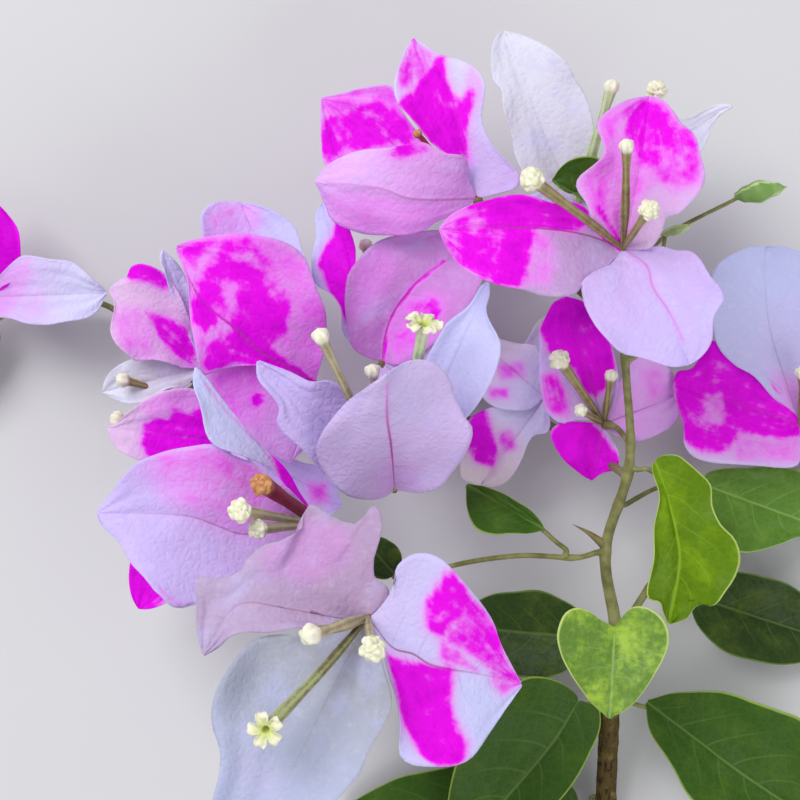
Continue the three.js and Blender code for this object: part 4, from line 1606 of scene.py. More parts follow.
    def star(self, route: Route, seed: float) -> Surface:
        """Build an open flower: a tube that flares to a crumpled star round a throat.

        Args:
            route: The tube's curve.
            seed: Which slice of the noise crumples it.

        Returns:
            The flower's surface.
        """
        turn, pleats = self.TURNS, np.cos(2 * FIVEFOLD * self.TURNS)
        lobes = np.abs(np.cos(FIVEFOLD / 2 * turn)) ** 0.6
        rim = self.STAR * (0.6 + 0.42 * lobes - 0.08 * pleats)
        under = np.linspace(0.15, 1, 8)[:, None]
        over = np.linspace(1, 0, 12)[:, None]
        inner = np.linspace(0, 1, 6)[1:, None]
        spread = np.vstack([
            self.MOUTH + (rim - self.MOUTH) * under,
            self.THROAT + (rim - self.THROAT) * over,
            self.THROAT - 0.3 * inner + 0 * rim,
        ])
        raised = np.vstack([
            0.6 * under**0.6 + 0 * rim,
            0.95 - 0.5 * (1 - over) ** 2 + 0 * rim,
            0.45 - 1.6 * inner + 0 * rim,
        ])
        throat = np.vstack([0.25 * (1 - under) + 0 * rim, (1 - over) ** 1.5 + 0 * rim, 1 + 0 * inner * rim])
        flat = np.stack(np.broadcast_arrays(spread * np.cos(turn), spread * np.sin(turn)), axis=-1)
        crumple = smooth(spread, 0.7, 1.8) * (0.9 * noise_at(flat, 0.8, seed) + 0.12 * pleats)
        return self.top(route, spread, raised + crumple, 0.85 * throat)

    def clump(self, route: Route, seed: float) -> Surface:
        """Build an open flower whose star has curled up to a clump of round lobes.

        Args:
            route: The tube's curve.
            seed: Which draw of the lobes, and which slice of the noise, shapes it.

        Returns:
            The flower's surface.
        """
        turn = self.TURNS
        polar = np.linspace(2.55, 0.03, 34)[:, None]
        parts = (np.sin(polar) * np.cos(turn), np.sin(polar) * np.sin(turn), np.cos(polar))
        aims = np.stack(np.broadcast_arrays(*parts), axis=-1)
        draw = np.random.default_rng(int(seed * 100))
        depth = 1 - 1.75 * (np.arange(self.LOBES) + draw.uniform(0.2, 0.8, self.LOBES)) / self.LOBES
        around = self.LOBE_TURN * np.arange(self.LOBES) + draw.uniform(-0.4, 0.4, self.LOBES)
        level = np.sqrt(1 - depth**2)
        apart = draw.uniform(*self.LOBE_REACH, self.LOBES)[:, None]
        lobes = apart * np.stack([level * np.cos(around), level * np.sin(around), depth], axis=-1)
        size = draw.uniform(*self.LOBE_SIZE, self.LOBES)
        reach = aims @ lobes.T
        inside = size**2 - (lobes**2).sum(-1) + reach**2
        out = np.sort(np.where(inside > 0, reach + np.sqrt(np.maximum(inside, 0)), 1.2), axis=-1)
        radius = out[..., -1]
        # Painted shade: the hollows between the lobes take the throat's yellow-green.
        crease_shade = np.exp(-(((radius - out[..., -2]) / self.CREASE) ** 2))
        radius = radius * (1 + 0.14 * noise_at(aims * 2.0, 0.7, seed))
        height = 0.75 * radius * aims[..., 2] + 0.75
        return self.top(route, 1.05 * radius * np.sin(polar), height, 0.4 * crease_shade)


@dataclass(frozen=True)
class Bloom:
    """Three bracts and up to three flowers that meet at one foot, on a stalk."""

    name: str
    foot: Point
    stalk: Stalk
    bracts: tuple[Bract, ...]
    flowers: tuple[Flower, ...] = ()

    STALK_PROFILE = ((0.0, 0.5), (0.6, 0.5), (0.9, 0.92), (1.0, 0.55))
    OVERRUN = 0.3  # how far the stalk runs on past the foot

    def build(self, spray: Spray) -> None:
        """Build the bloom's pieces.

        Args:
            spray: The spray that it belongs to.
        """
        way = self.stalk.route(spray, self.foot)
        past = tuple((way.at(1.0) + self.OVERRUN * way.heading(1.0)).tolist())
        self.stalk.build(spray, f"{self.name}_stalk", self.name, "bract", past, self.STALK_PROFILE)
        for number, bract in enumerate(self.bracts, 1):
            bract.build(spray, f"{self.name}_bract_{number}", self.name, self.foot)
        for number, flower in enumerate(self.flowers, 1):
            flower.build(spray, f"{self.name}_flower_{number}", self.name, self.foot)


@dataclass(frozen=True)
class Leaf:
    """A leaf on its own stalk."""

    name: str
    foot: Point
    stalk: Stalk
    blade: Blade
    tone: LeafTone = LeafTone.DEEP
    form: Form = LEAF

    STALK_PROFILE = ((0.0, 0.5), (0.5, 0.42), (0.9, 0.45), (1.0, 0.2))
    OVERLAP = 0.08  # the share of the blade that the stalk runs on under
    SUNK = 0.3  # how far under the blade's middle the stalk ends

    def build(self, spray: Spray) -> None:
        """Build the leaf's blade and its stalk.

        Args:
            spray: The spray that it belongs to.
        """
        foot, tip = np.array(self.foot), np.array(self.blade.tip)
        into = foot + (tip - foot) * self.OVERLAP - np.array((0, 0, self.SUNK))
        self.stalk.build(spray, f"{self.name}_stalk", self.name, "leaf", tuple(into), self.STALK_PROFILE)
        sheet = self.blade.sheet(self.form, self.foot, spray.next_seed())
        surface = self.blade.surface(self.form, sheet, {})
        spray.add(f"{self.name}_blade", surface, spray.leaves[self.tone], "leaf", self.name)


@dataclass(frozen=True)
class Shoot:
    """A closed young shoot: a spindle of folded bracts on a thin twig."""

    name: str
    foot: Point
    tip: Point
    radius: float
    stalk: Stalk
    pale: float

    SPINDLE = ((0.0, 0.3), (0.2, 0.72), (0.48, 1.0), (0.78, 0.62), (1.0, 0.06))
    TWIG_PROFILE = ((0.0, 0.45), (1.0, 0.35))
    SIDES = 36
    RINGS = 60
    OVERLAP = 0.15  # the share of the spindle that the twig runs on into
    BOW = 0.06  # how far the spindle bows up, as a share of its length
    FOLDS = 3
    TWIST = 0.5  # turns of one fold, from the foot to the tip

    def build(self, spray: Spray) -> None:
        """Build the shoot and its twig.

        Args:
            spray: The spray that it belongs to.
        """
        foot, tip = np.array(self.foot, float), np.array(self.tip, float)
        into = foot * (1 - self.OVERLAP) + tip * self.OVERLAP
        self.stalk.build(spray, f"{self.name}_twig", self.name, "bud", tuple(into), self.TWIG_PROFILE)
        bowed = (foot + tip) / 2 + np.array((0, 0, self.BOW)) * np.linalg.norm(tip - foot)
        tube = Tube(Route([foot, bowed, tip]), self.SIDES, self.RINGS)
        share, turn = tube.shares()[:, None], tube.turns()[None, :]
        fold = (turn / (2 * math.pi) * self.FOLDS + self.TWIST * share) % 1.0
        radius = self.radius * eased(self.SPINDLE, share) * (0.93 + 0.09 * fold)
        pale = self.pale + smooth(fold, 0.72, 0.98) * 0.7 + 0.35 * smooth(share, 0.4, 1.0)
        surface = tube.surface(radius, {"pale": pale})
        spray.add(f"{self.name}_spindle", surface, spray.shoot, "bud", self.name)


LIMBS = (
    Limb("main_stem", "bark", (
        (39.5, -87.5, 2.4), (39.8, -62, 10), (40.5, -44, 16.5), (38, -28, 22), (42, -12, 26), (41, 5, 30),
        (39.5, 18, 34),
    ), ((0, 1.95), (0.25, 1.9), (0.36, 1.3), (0.5, 1.05), (0.68, 0.9), (0.8, 0.74), (1, 0.7)), bark=(
        (0.0, 1.0), (0.25, 0.9), (0.37, 0.35), (0.5, 0.05), (1.0, 0.0),
    ), thorns=((0.575, (31.7, -22.8, 25.5)),)),
    Limb("bough_lower", "green_stem", (
        (33, -29, 23.5), (22, -28.5, 26), (9, -30, 32), (1, -32.5, 40), (-3.5, -35.5, 48),
    ), ((0, 0.5), (1, 0.42)), ("main_stem", 0.565)),
    Limb("bough_middle", "green_stem", (
        (38.6, -11.5, 15), (33, -8, 8), (28.7, -4.9, 3.5), (15.5, -3.9, 3), (0, -4.5, 8), (-11, -3.5, 18),
    ), ((0, 0.8), (1, 0.7)), ("main_stem", 0.7)),
    Limb("bough_far", "green_stem", (
        (-24.5, -2, 18), (-34.5, 1.5, 15), (-47.5, 9.5, 9), (-56, 18, 6), (-66, 19, 6), (-77, 18, 9),
    ), ((0, 0.7), (1, 0.5)), ("bough_middle", 1)),
    Limb("bough_crown", "green_stem", ((34, 19, 25), (28, 25, 20), (22, 31, 21), (18, 34.5, 25)),
        ((0, 0.7), (1, 0.55)), ("main_stem", 0.95)),
    Limb("bough_right", "green_stem", ((48.5, -34, 12), (60, -25, 8), (69.5, -13.5, 8), (74, -8.5, 10)),
        ((0, 0.75), (1, 0.65)), ("main_stem", 0.42)),
)

OPEN, CLUMP, BUD = FlowerKind.OPEN, FlowerKind.CLUMP, FlowerKind.BUD

BLOOMS = (
    Bloom("bloom_crown_front", (39, 26.5, 44), Stalk("main_stem", 1, (39.3, 23, 39)), (
        Bract(Blade(seen(438.5, 229, 52), fold=8, arch=0.05, trace=Trace((
            (607, 267), (585, 283), (574, 295), (548, 296), (527, 290), (498, 286), (476, 276), (455, 259),
            (443, 242),
        ), (
            (603, 229), (586, 208), (574, 202), (552, 202), (531, 195), (510, 195), (486, 200), (468, 206),
            (451, 216),
        ), ((586, 235), (535, 228)))), Tone.MAUVE, 0.9, (
            Patch((
                (436, 233), (450, 210), (483, 196), (514, 190), (541, 198), (572, 198), (586, 208),
                (590, 222), (575, 232), (536, 228), (530, 249), (528, 268), (520, 290), (497, 288),
                (476, 279), (448, 256),
            ), 0.86, 9),
            Patch(((528, 232), (550, 232), (556, 262), (548, 285), (528, 284)), 0.42, 16),
            Patch(((484, 202), (512, 196), (524, 214), (506, 226), (486, 220)), 1.08, 16),
            Patch(((500, 240), (524, 236), (526, 262), (508, 278), (496, 262)), 1.05, 16),
            Patch(((466, 214), (478, 208), (484, 228), (474, 236)), -0.24, 10),
            Patch(((436, 234), (446, 214), (466, 204), (470, 212), (454, 224), (446, 240)), -0.4, 8),
            Streak(((592, 226), (606, 238), (623, 252)), 6, 0.9, 6),
        )),
        Bract(Blade(seen(650, 96, 48), fold=12, arch=0.08, ruffle=0.7, trace=Trace((
            (605, 237), (590, 221), (586, 204), (578, 187), (580, 178), (591, 166), (603, 151), (599, 123),
            (608, 111), (620, 102), (633, 98),
        ), (
            (650, 248), (660, 233), (667, 217), (680, 214), (688, 206), (700, 191), (705, 174), (701, 153),
            (696, 136), (680, 123), (673, 111), (663, 100),
        ), ((632, 205), (642, 150)))), Tone.PETAL, 0.3, (
            Patch((
                (598, 142), (596, 120), (612, 104), (642, 93), (668, 100), (690, 125), (706, 155),
                (700, 180), (680, 188), (655, 184), (640, 200), (628, 246), (606, 232), (585, 205),
                (578, 180),
            ), 0.42, 16),
            Patch((
                (620, 112), (640, 100), (664, 104), (678, 124), (672, 150), (658, 168), (640, 168),
                (628, 148),
            ), 0.8, 16),
            Patch(((664, 128), (690, 126), (702, 150), (698, 182), (676, 190), (654, 178), (660, 150)),
                0.62, 18),
            Patch(((583, 182), (604, 170), (616, 190), (606, 214), (592, 206)), 0.48, 14),
            Patch(((602, 122), (618, 108), (626, 114), (616, 136), (604, 140)), 0.48, 12),
            Streak(((598, 210), (610, 226), (620, 244)), 7, 0.8, 9),
        )),
        Bract(Blade(seen(690, 365, 46), fold=5, arch=0.08, trace=Trace((
            (637, 249), (660, 246), (675, 250), (690, 251), (700, 258), (712, 277), (722, 289), (724, 300),
            (717, 311), (714, 318), (712, 341), (702, 356),
        ), ((610, 262), (590, 275), (580, 284), (593, 322), (607, 341), (620, 352), (641, 357), (671, 367)),
            ((647, 266), (653, 287), (668, 310), (683, 340)))), Tone.LAVENDER, 0.35, (
            Streak(((630, 255), (647, 267), (653, 287), (668, 310), (683, 340)), 4, 0.34, 9),
        )),
    ), (
        Flower((22.5, 37, 58), CLUMP, head=1.1),
        Flower((38, 43.5, 61), BUD, size=0.9, head=0.78),
        Flower((42, 32, 57), CLUMP, size=0.85, head=0.85),
    )),
    Bloom("bloom_crown_white", (32, 35.5, 30), Stalk("main_stem", 0.97, (36, 26, 30)), (
        Bract(Blade(seen(504, 31, 28), fold=8, arch=0.05, ruffle=0.6, trace=Trace((
            (555, 195), (530, 185), (518, 165), (512, 135), (505, 119), (501.5, 104), (501.5, 90),
            (495, 82), (491, 64), (491, 48), (497, 35),
        ), (
            (590, 180), (597, 150), (594, 123), (586, 98), (576, 81), (567, 62), (550, 48), (530, 38),
            (515, 33),
        ), ((548, 144), (533, 106), (522, 70)))), Tone.WHITE, 0.12),
        Bract(Blade(seen(733, 105.5, 30), fold=10, arch=-0.08, trace=Trace((
            (600, 160), (640, 130), (670, 120), (688, 118), (705, 108.6), (722, 103.5),
        ), ((640, 212), (668, 185), (690, 165), (703, 148), (713, 124), (722, 111)))), Tone.WHITE, 0.2),
        Bract(Blade((19, 21.5, 29), 16, fold=8, arch=0.04), Tone.ICE),
    ), (
        Flower((38, 57, 38), BUD, FlowerTone.MINT, 1.05, 0.85),
        Flower((45.5, 55, 37), CLUMP, FlowerTone.MINT, head=0.9),
    )),
    Bloom("bloom_crown_left", (14, 36.5, 31), Stalk("bough_crown", 1, (14.7, 35.2, 29)), (
        Bract(Blade(seen(321, 98, 25), fold=3, arch=0.02, ruffle=0.3, trace=Trace((
            (440, 190), (400, 185), (360, 180), (335, 172), (324.6, 165), (321.5, 144), (320, 122),
        ), ((464, 180), (438, 152), (414, 126), (399, 104), (391, 86), (361, 88), (343, 93)))), Tone.PALE,
            0.3, (
                Patch(((318, 92), (392, 82), (425, 135), (412, 150), (370, 155), (340, 162), (322, 172)),
                    0.5, 12),
                Patch((
                    (320, 118), (345, 114), (366, 102), (380, 100), (398, 112), (414, 134), (408, 146),
                    (352, 152), (330, 164), (320, 160),
                ), 0.84, 12),
            )),
        Bract(Blade(seen(413.8, 38.6, 27), fold=10, arch=0.06, trace=Trace((
            (465, 185), (445, 155), (425, 135), (408, 116), (398.5, 104), (394, 85), (401.5, 58), (408, 44),
        ), (
            (500, 193), (517, 187), (519, 174), (510, 163), (500, 153), (488, 138), (481.5, 119), (486, 85),
            (478, 70), (463, 61), (441, 54.6), (423, 44),
        ), ((465, 150), (455, 110), (437, 62)))), Tone.LILAC, 0.2, (
            Patch((
                (396, 104), (428, 74), (436, 58), (444, 56), (446, 76), (452, 94), (461, 101), (472, 86),
                (476, 96), (466, 128), (470, 160), (461, 160), (435, 148), (412, 124),
            ), 0.9, 8),
            Patch(((400, 62), (412, 40), (434, 54), (430, 80), (412, 92), (398, 88)), 0.48, 12),
            Patch(((398, 66), (412, 60), (414, 84), (400, 92)), 0.66, 10),
            Streak(((413, 40), (418, 55), (424, 72)), 6, 0.6),
            Patch(((470, 62), (482, 80), (484, 100), (474, 104), (466, 84)), 0.3, 12),
        )),
        Bract(Blade(seen(315, 181, 34), facing=(0, 0.5, -1), fold=10, arch=-0.12, trace=Trace((
            (469, 178), (468, 165), (463, 156), (445, 153), (423, 142), (408, 144), (389, 148), (361, 150),
            (343, 156), (328, 165), (318, 176),
        ), (
            (468, 205), (454, 215), (438, 222), (423, 230), (380, 236), (365, 235), (346, 227), (331, 219),
            (325, 208), (317, 187),
        ), ((438, 199), (407, 198), (383, 189)))), Tone.PINK, 0.5, (
            Patch(((388, 156), (396, 142), (424, 138), (430, 150), (412, 158), (400, 160)), 0.72, 7),
            Patch(((322, 196), (350, 188), (400, 200), (450, 204), (440, 226), (400, 240), (340, 232)),
                0.34, 22),
        )),
    ), (Flower((2.6, 48.5, 33), BUD, FlowerTone.RED, 0.5, 0.5),)),
    Bloom("bloom_heart_back", (-3.3, 7, 24), Stalk("bough_middle", 0.86, (-4, 2, 20.5)), (
        Bract(Blade(seen(475, 238, 23), fold=4, arch=0.06, trace=Trace((
            (366, 357), (352, 348), (348, 333), (345, 293), (348, 273), (357, 260), (370, 247), (387, 238),
            (440, 230),
        ), ((400, 365), (430, 347), (460, 318), (478, 290), (484, 265)), (
            (385, 337), (393, 313), (410, 290), (427, 273), (443, 263),
        ))), Tone.DUSK, 0.9, (
            Streak(((384, 361), (386, 334), (395, 310), (412, 287), (443, 262)), 6, 0.72, 6),
            Patch((
                (388, 345), (394, 318), (408, 300), (430, 292), (446, 300), (440, 330), (414, 352),
                (396, 362),
            ), 0.52, 18),
            Patch(((422, 304), (434, 298), (444, 308), (436, 322), (424, 318)), 0.8, 8),
            Patch(((350, 262), (380, 246), (400, 262), (380, 300), (352, 320)), 0.26, 22),
        )),
        Bract(Blade(seen(322, 203, 23), roll=-15, fold=6, arch=0.04, trace=Trace((
            (360, 352), (343, 333), (340, 307), (330, 293), (315, 283), (311.7, 257), (316, 237),
            (315, 215),
        ), ((375, 330), (360, 290), (352, 235), (345, 215), (335, 205)))), Tone.ICE, 0.3, (
            Patch((
                (338, 214), (352, 220), (360, 260), (346, 320), (328, 288), (318, 264), (326, 246),
                (334, 236),
            ), 0.95, 7),
        )),
        Bract(Blade((10, -5, 20), 17, fold=8, arch=0.04), Tone.PALE),
    ), (Flower((-6.6, 30, 19), BUD, FlowerTone.STRAW, 0.7, 0.8),)),
    Bloom("bloom_heart_front", (-1, -16.3, 30), Stalk("bough_middle", 0.78, (0, -11, 22)), (
        Bract(Blade(seen(388, 373, 56), facing=(0, 0.8, -0.6), fold=6, arch=-0.1, trace=Trace((
            (400, 490.5), (423, 492), (440, 487), (453, 473), (463, 457), (472, 427), (465, 417),
            (457, 400), (452, 383), (443, 370), (430, 361), (413, 360), (397, 369),
        ), (
            (385, 497), (373, 500), (355, 497), (337, 487), (322, 470), (316, 452), (322, 432), (337, 413),
            (353, 397), (382, 377),
        ), ((391, 445), (387, 416)))), Tone.PALE, 1.0, (
            Patch(((372, 470), (396, 455), (420, 470), (420, 492), (372, 498)), 0.16, 20),
            Streak(((391, 488), (391, 445), (387, 416), (387, 385)), 5, 0.3, 7),
        )),
        Bract(Blade(seen(258, 360, 46), fold=10, arch=0.03, trace=Trace((
            (388, 494), (355, 492), (336.7, 484), (300, 448), (282, 431), (277, 421), (279, 408),
            (258, 379), (256.7, 363),
        ), ((385, 440), (360, 400), (340, 385), (327, 379), (311, 382), (282, 369.5)))), Tone.LAVENDER,
            0.25),
        Bract(Blade(seen(489, 281, 40), fold=10, arch=0.05, trace=Trace((
            (400, 450), (415, 400), (430, 353), (440, 333), (447, 322), (467, 308), (475, 297), (480, 286),
        ), (
            (420, 470), (450, 440), (468, 417), (477, 407), (490, 387), (498, 363), (500, 343), (487, 310),
            (490, 295),
        ))), Tone.ICE, 0.3),
    ), (
        Flower((-14, 12, 56), BUD, FlowerTone.STRAW, head=0.95),
        Flower((-5, 6.1, 46), BUD, FlowerTone.STRAW, 0.8, 0.85),
        Flower((4, 12.5, 52), OPEN, FlowerTone.MINT, head=1.15, look=0.05),
    )),
    Bloom("bloom_left_magenta", (-15.5, 3, 27), Stalk("bough_far", 0.04, (-15, -1.5, 21)), (
        Bract(Blade(seen(176.5, 246, 34), fold=6, arch=0.08, ruffle=0.6, trace=Trace((
            (290, 376), (263, 366), (240, 366), (224, 369), (212, 373), (201, 375), (197, 363), (194, 347),
            (190, 308), (186, 280), (183, 267), (178, 256),
        ), (
            (325, 345), (326, 312), (321, 296), (311, 273), (301, 254), (280, 240), (244, 233), (218, 235),
            (200, 238), (185, 242),
        ), ((289, 367), (264, 354), (238, 331), (199, 297)))), Tone.ROSE, 0.8, (
            Patch((
                (172, 236), (215, 226), (265, 230), (310, 262), (332, 312), (325, 385), (280, 385),
                (205, 382), (184, 330), (172, 270),
            ), 0.45, 12),
            Patch((
                (178, 250), (196, 240), (248, 236), (284, 270), (262, 276), (222, 266), (196, 274),
                (184, 268),
            ), 0.68, 12),
            Patch((
                (192, 282), (206, 266), (226, 256), (246, 260), (270, 270), (286, 290), (294, 312),
                (284, 334), (268, 350), (250, 340), (234, 322), (198, 300),
            ), 0.94, 16),
            Patch(((192, 302), (204, 298), (216, 308), (218, 326), (204, 332), (193, 322)), 1.05, 8),
            Patch((
                (200, 374), (206, 352), (214, 336), (232, 330), (250, 338), (262, 352), (258, 366),
                (236, 362), (220, 368),
            ), 0.84, 9),
            Patch(((222, 284), (236, 282), (238, 306), (226, 310)), -0.5, 9),
            Patch(((262, 272), (272, 270), (276, 290), (266, 294)), -0.35, 9),
            Patch(((196, 262), (204, 252), (212, 256), (200, 274)), -0.3, 8),
            Patch(((298, 262), (312, 276), (322, 300), (322, 340), (308, 340), (304, 300)), 0.36, 12),
            Patch(((226, 318), (246, 326), (268, 345), (314, 380), (296, 376), (262, 362), (238, 346)), 1.0,
                9),
            Streak(((199, 297), (238, 331), (264, 354), (289, 368), (312, 381)), 6, 1.15, 10),
        )),
        Bract(Blade(seen(240.6, 202, 23), fold=6, arch=0.02, ruffle=0.6, trace=Trace((
            (280, 350), (240, 300), (210, 260), (201, 235), (200.6, 214), (210, 204), (225, 201),
        ), ((318, 330), (312, 290), (311, 270), (300, 244), (295, 230), (282, 216), (263, 206)))), Tone.ICE,
            0.25, (
                Patch(((196, 212), (212, 198), (240, 196), (262, 206), (266, 222), (256, 236), (200, 242)),
                    0.3, 22),
                Patch(((205, 218), (226, 206), (240, 208), (230, 222), (210, 232)), 0.4, 18),
            )),
        Bract(Blade(seen(290, 463, 24.5), fold=6, arch=0.03, trace=Trace(((315, 410), (310, 440)), (
            (290, 362), (262, 356), (225, 362), (204, 372), (215, 395), (235, 425), (260, 450),
        ))), Tone.ROSE, 0.2, (
            Patch(((202, 364), (264, 352), (268, 400), (258, 424), (235, 426), (212, 398)), 0.44, 20),
            Patch(((252, 394), (259, 392), (262, 402), (255, 405)), 1.0, 8),
        )),
    ), (Flower((-19, 0, 37), BUD),)),
    Bloom("bloom_lower_left", (-14, -22, 38), Stalk("bough_lower", 0.82, (-6, -27, 36)), (
        Bract(Blade(seen(96.7, 513, 48), fold=8, arch=0.06, ruffle=0.6, trace=Trace((
            (310, 560), (270, 590), (230, 603), (196, 604), (180, 608), (168, 605), (162, 598), (155, 593),
            (143, 577), (131, 563), (120, 543), (100, 523),
        ), (
            (300, 500), (285, 485), (270, 477), (257, 466), (235, 456), (213, 443), (183, 448), (157, 455),
            (137, 462), (123, 475), (113, 490), (103, 503),
        ), ((242, 534), (218, 526), (189, 516)))), Tone.LAVENDER, 0.6, (
            Patch((
                (150, 448), (213, 436), (262, 466), (296, 492), (300, 520), (272, 536), (240, 534),
                (205, 520), (170, 500), (145, 474),
            ), 0.38, 30),
            Patch(((188, 448), (220, 444), (258, 464), (272, 480), (266, 500), (240, 496), (212, 474)),
                0.44, 24),
            Streak(((160, 590), (178, 606), (190, 606)), 5, 0.4, 8),
        )),
        Bract(Blade((-37, -30.5, 41), 12, fold=8, arch=0.04), Tone.LAVENDER),
        Bract(Blade(seen(196, 366, 50), roll=65, fold=4, arch=0.02, crumple=0.2, trace=Trace((
            (300, 510), (273, 470), (237, 455), (213, 442), (200, 411), (196, 398), (193, 382),
        ), ((302, 495), (280, 463), (270, 453), (250, 437), (230, 417), (205, 380)))), Tone.ICE, 0.3, (
            Patch(((270, 452), (284, 458), (312, 500), (304, 514), (286, 490)), 1.0, 8),
            Streak(((204, 384), (228, 414), (252, 440)), 3, 0.35, 5),
        )),
    ), (
        Flower((-23.5, -14.5, 52), CLUMP, FlowerTone.RED, 1.5, 0.95),
        Flower((-27, -18.8, 56), CLUMP, FlowerTone.STRAW),
        Flower((-24, -22, 53), CLUMP, FlowerTone.STRAW, head=0.85),
    )),
    Bloom("bloom_front", (-5.5, -37, 54), Stalk("bough_lower", 1, (-4.5, -36.3, 51)), (
        # This bract's white ground is greyed with painted shade.
        Bract(Blade((-25.3, -76.8, 58), fold=8, arch=0.05, ruffle=0.7, crumple=1.7, trace=Trace((
            (378, 640), (385, 670), (392, 692), (392, 710), (383, 728), (369.5, 750), (360, 773),
            (347, 790), (338, 800), (300, 835),
        ), (
            (340, 622), (302, 634), (280, 636), (257, 642), (239, 654), (226, 669.5), (215, 687),
            (210, 710), (212, 728), (219, 750), (217, 777), (212, 800), (215, 830),
        ))), Tone.WHITE_IN_SHADE, 0.15, (
            Patch(((232, 748), (262, 752), (290, 790), (262, 800), (232, 776)), 0.08, 22),
        )),
        Bract(Blade(seen(522, 684, 45), fold=8, arch=0.1, trace=Trace((
            (372, 615), (387, 598), (394, 582), (396, 568), (405, 559), (419, 554), (437, 557), (450, 566),
            (482, 604), (495, 625), (499.5, 642), (508.5, 660),
        ), (
            (375, 635), (385, 656), (396, 705), (399, 732), (400, 755), (410, 764), (432, 767), (455, 766),
            (470, 759), (486, 739), (511, 701),
        ), ((393, 648), (413, 654), (431, 665), (480, 674)))), Tone.ICE, 0.9, (
            Patch((
                (388, 656), (433, 668), (454, 666), (450, 690), (452, 716), (466, 742), (464, 762),
                (440, 769), (422, 754), (404, 724), (396, 690),
            ), 0.92, 8),
            Patch(((428, 628), (426, 604), (452, 568), (466, 582), (470, 600), (444, 636)), 0.84, 9),
            Patch((
                (446, 640), (452, 618), (468, 596), (484, 608), (500, 634), (506, 658), (524, 684),
                (506, 682), (466, 652),
            ), 0.64, 11),
            Patch(((484, 626), (500, 640), (510, 664), (500, 668), (486, 650)), 0.82, 8),
            Patch(((440, 640), (460, 650), (480, 672), (440, 660)), 0.55, 10),
            Patch(((488, 664), (512, 668), (522, 684), (502, 696), (490, 682)), 0.5, 10),
        )),
        # This bract's mauve ground is greyed with painted shade.
        Bract(Blade(seen(203, 656, 58), roll=14, fold=10, arch=0.04, ruffle=0.7, trace=Trace((
            (345, 626), (306, 630), (284, 631), (257, 631), (230, 638), (217, 647),
        ), (
            (376, 611), (388, 598), (388, 587), (376, 580), (374, 560), (380, 540), (383, 521), (378, 508),
            (373, 502), (368, 514), (360, 524), (347, 524), (329, 515), (318, 506), (309, 504), (302, 513),
            (299, 527), (280, 540), (263, 545), (250, 557), (240, 573), (217, 579), (197, 576), (196, 600),
            (197, 630),
        ), ((343, 619), (288, 609), (238, 605)))), Tone.MAUVE_IN_SHADE, 0.6, (
            Patch(((300, 515), (350, 526), (352, 560), (310, 585), (262, 575), (262, 548)), 0.2, 22),
            Streak(((209, 553), (232, 555), (258, 560)), 2, 0.4, 5),
        )),
    ), (
        Flower((-22, -54, 68), OPEN, FlowerTone.GREEN, 1.1, 1.08, 0.85, (-13.5, -45.5, 64)),
        Flower((-16, -39, 67), BUD, FlowerTone.STRAW, 1.2, 1.15),
        Flower((-4.5, -40.5, 70), CLUMP, FlowerTone.STRAW, head=1.05, look=1.0),
    )),
    Bloom("bloom_left_pink", (-36.5, 6, 20), Stalk("bough_far", 0.4, (-36.5, 4, 17.5)), (
        Bract(Blade(seen(109, 289, 24), fold=8, arch=0.06, trace=Trace((
            (185, 368), (154, 360), (135, 360), (125, 353), (116, 344), (111, 331), (114, 305),
        ), ((190, 320), (180, 295), (157, 268), (141, 263), (131, 267), (127, 276), (118, 281)))),
            Tone.BLUSH, 0.25, (
                Patch(((146, 312), (168, 318), (186, 328), (196, 352), (192, 366), (172, 352), (158, 334)),
                    0.84, 9),
                Patch(((110, 310), (138, 306), (154, 330), (152, 358), (122, 352)), 0.38, 18),
                Patch(((124, 272), (138, 260), (158, 268), (172, 284), (164, 290), (148, 282), (132, 280)),
                    0.8, 8),
            )),
        Bract(Blade(seen(162, 249, 26), roll=50, fold=8, arch=0.04, crumple=0.2, trace=Trace((
            (195, 350), (180, 310), (163, 273), (160, 260),
        ), ((205, 345), (197, 315), (189, 286), (183, 270), (173, 259)))), Tone.LILAC, 0.2),
        Bract(Blade(seen(102, 392, 16), fold=8, arch=0.06, trace=Trace((
            (185, 385), (170, 389), (135, 404), (112, 398),
        ), ((190, 355), (160, 352), (119, 365), (109, 373), (104, 382)))), Tone.WHITE, 0.1),
    ), (Flower((-52.5, 4, 22), BUD, FlowerTone.OLIVE, 0.8, 0.85, via=(-40, 1.5, 16)),)),
    Bloom("bloom_left_low", (-31, -8, 21), Stalk("bough_far", 0.27, (-31.5, -4, 18)), (
        Bract(Blade(seen(107, 427, 26), fold=8, arch=0.06, trace=Trace((
            (225, 455), (190, 462), (160, 463), (138, 460), (126, 455), (117, 448), (110, 438),
        ), ((225, 410), (205, 395), (189, 388), (173, 388), (155, 395), (125, 414), (114, 426)))),
            Tone.BLUSH, 0.3, (
                Patch((
                    (142, 446), (144, 424), (156, 418), (168, 420), (174, 408), (188, 412), (200, 408),
                    (216, 436), (210, 452), (175, 452), (150, 458),
                ), 0.9, 8),
                Patch(((140, 404), (176, 386), (206, 394), (222, 410), (214, 424), (180, 414), (150, 420)),
                    0.36, 16),
            )),
        Bract(Blade((-48.5, -38.7, 20), 17, fold=8, arch=0.02), Tone.LAVENDER, 0.3, (
            Patch(((118, 560), (165, 560), (165, 615), (118, 615)), 0.82, 14),
        )),
        Bract(Blade(seen(342, 505, 15), fold=8, arch=0.04, trace=Trace((
            (262, 440), (285, 455), (303, 462), (320, 467), (333, 480),
        ), ((250, 470), (280, 500), (310, 515), (330, 515)))), Tone.LAVENDER, 0.3, (
            Patch(((308, 483), (326, 483), (328, 502), (310, 502)), 0.56, 12),
        )),
    ), (Flower((-54.2, -3.2, 17), BUD, FlowerTone.STRAW, 0.8, 0.85),)),
    Bloom("bloom_far_left", (-80, 19.5, 12), Stalk("bough_far", 1, (-79, 19, 10.8)), (
        Bract(Blade(seen(107, 293, 16), fold=10, arch=0.08, trace=Trace((
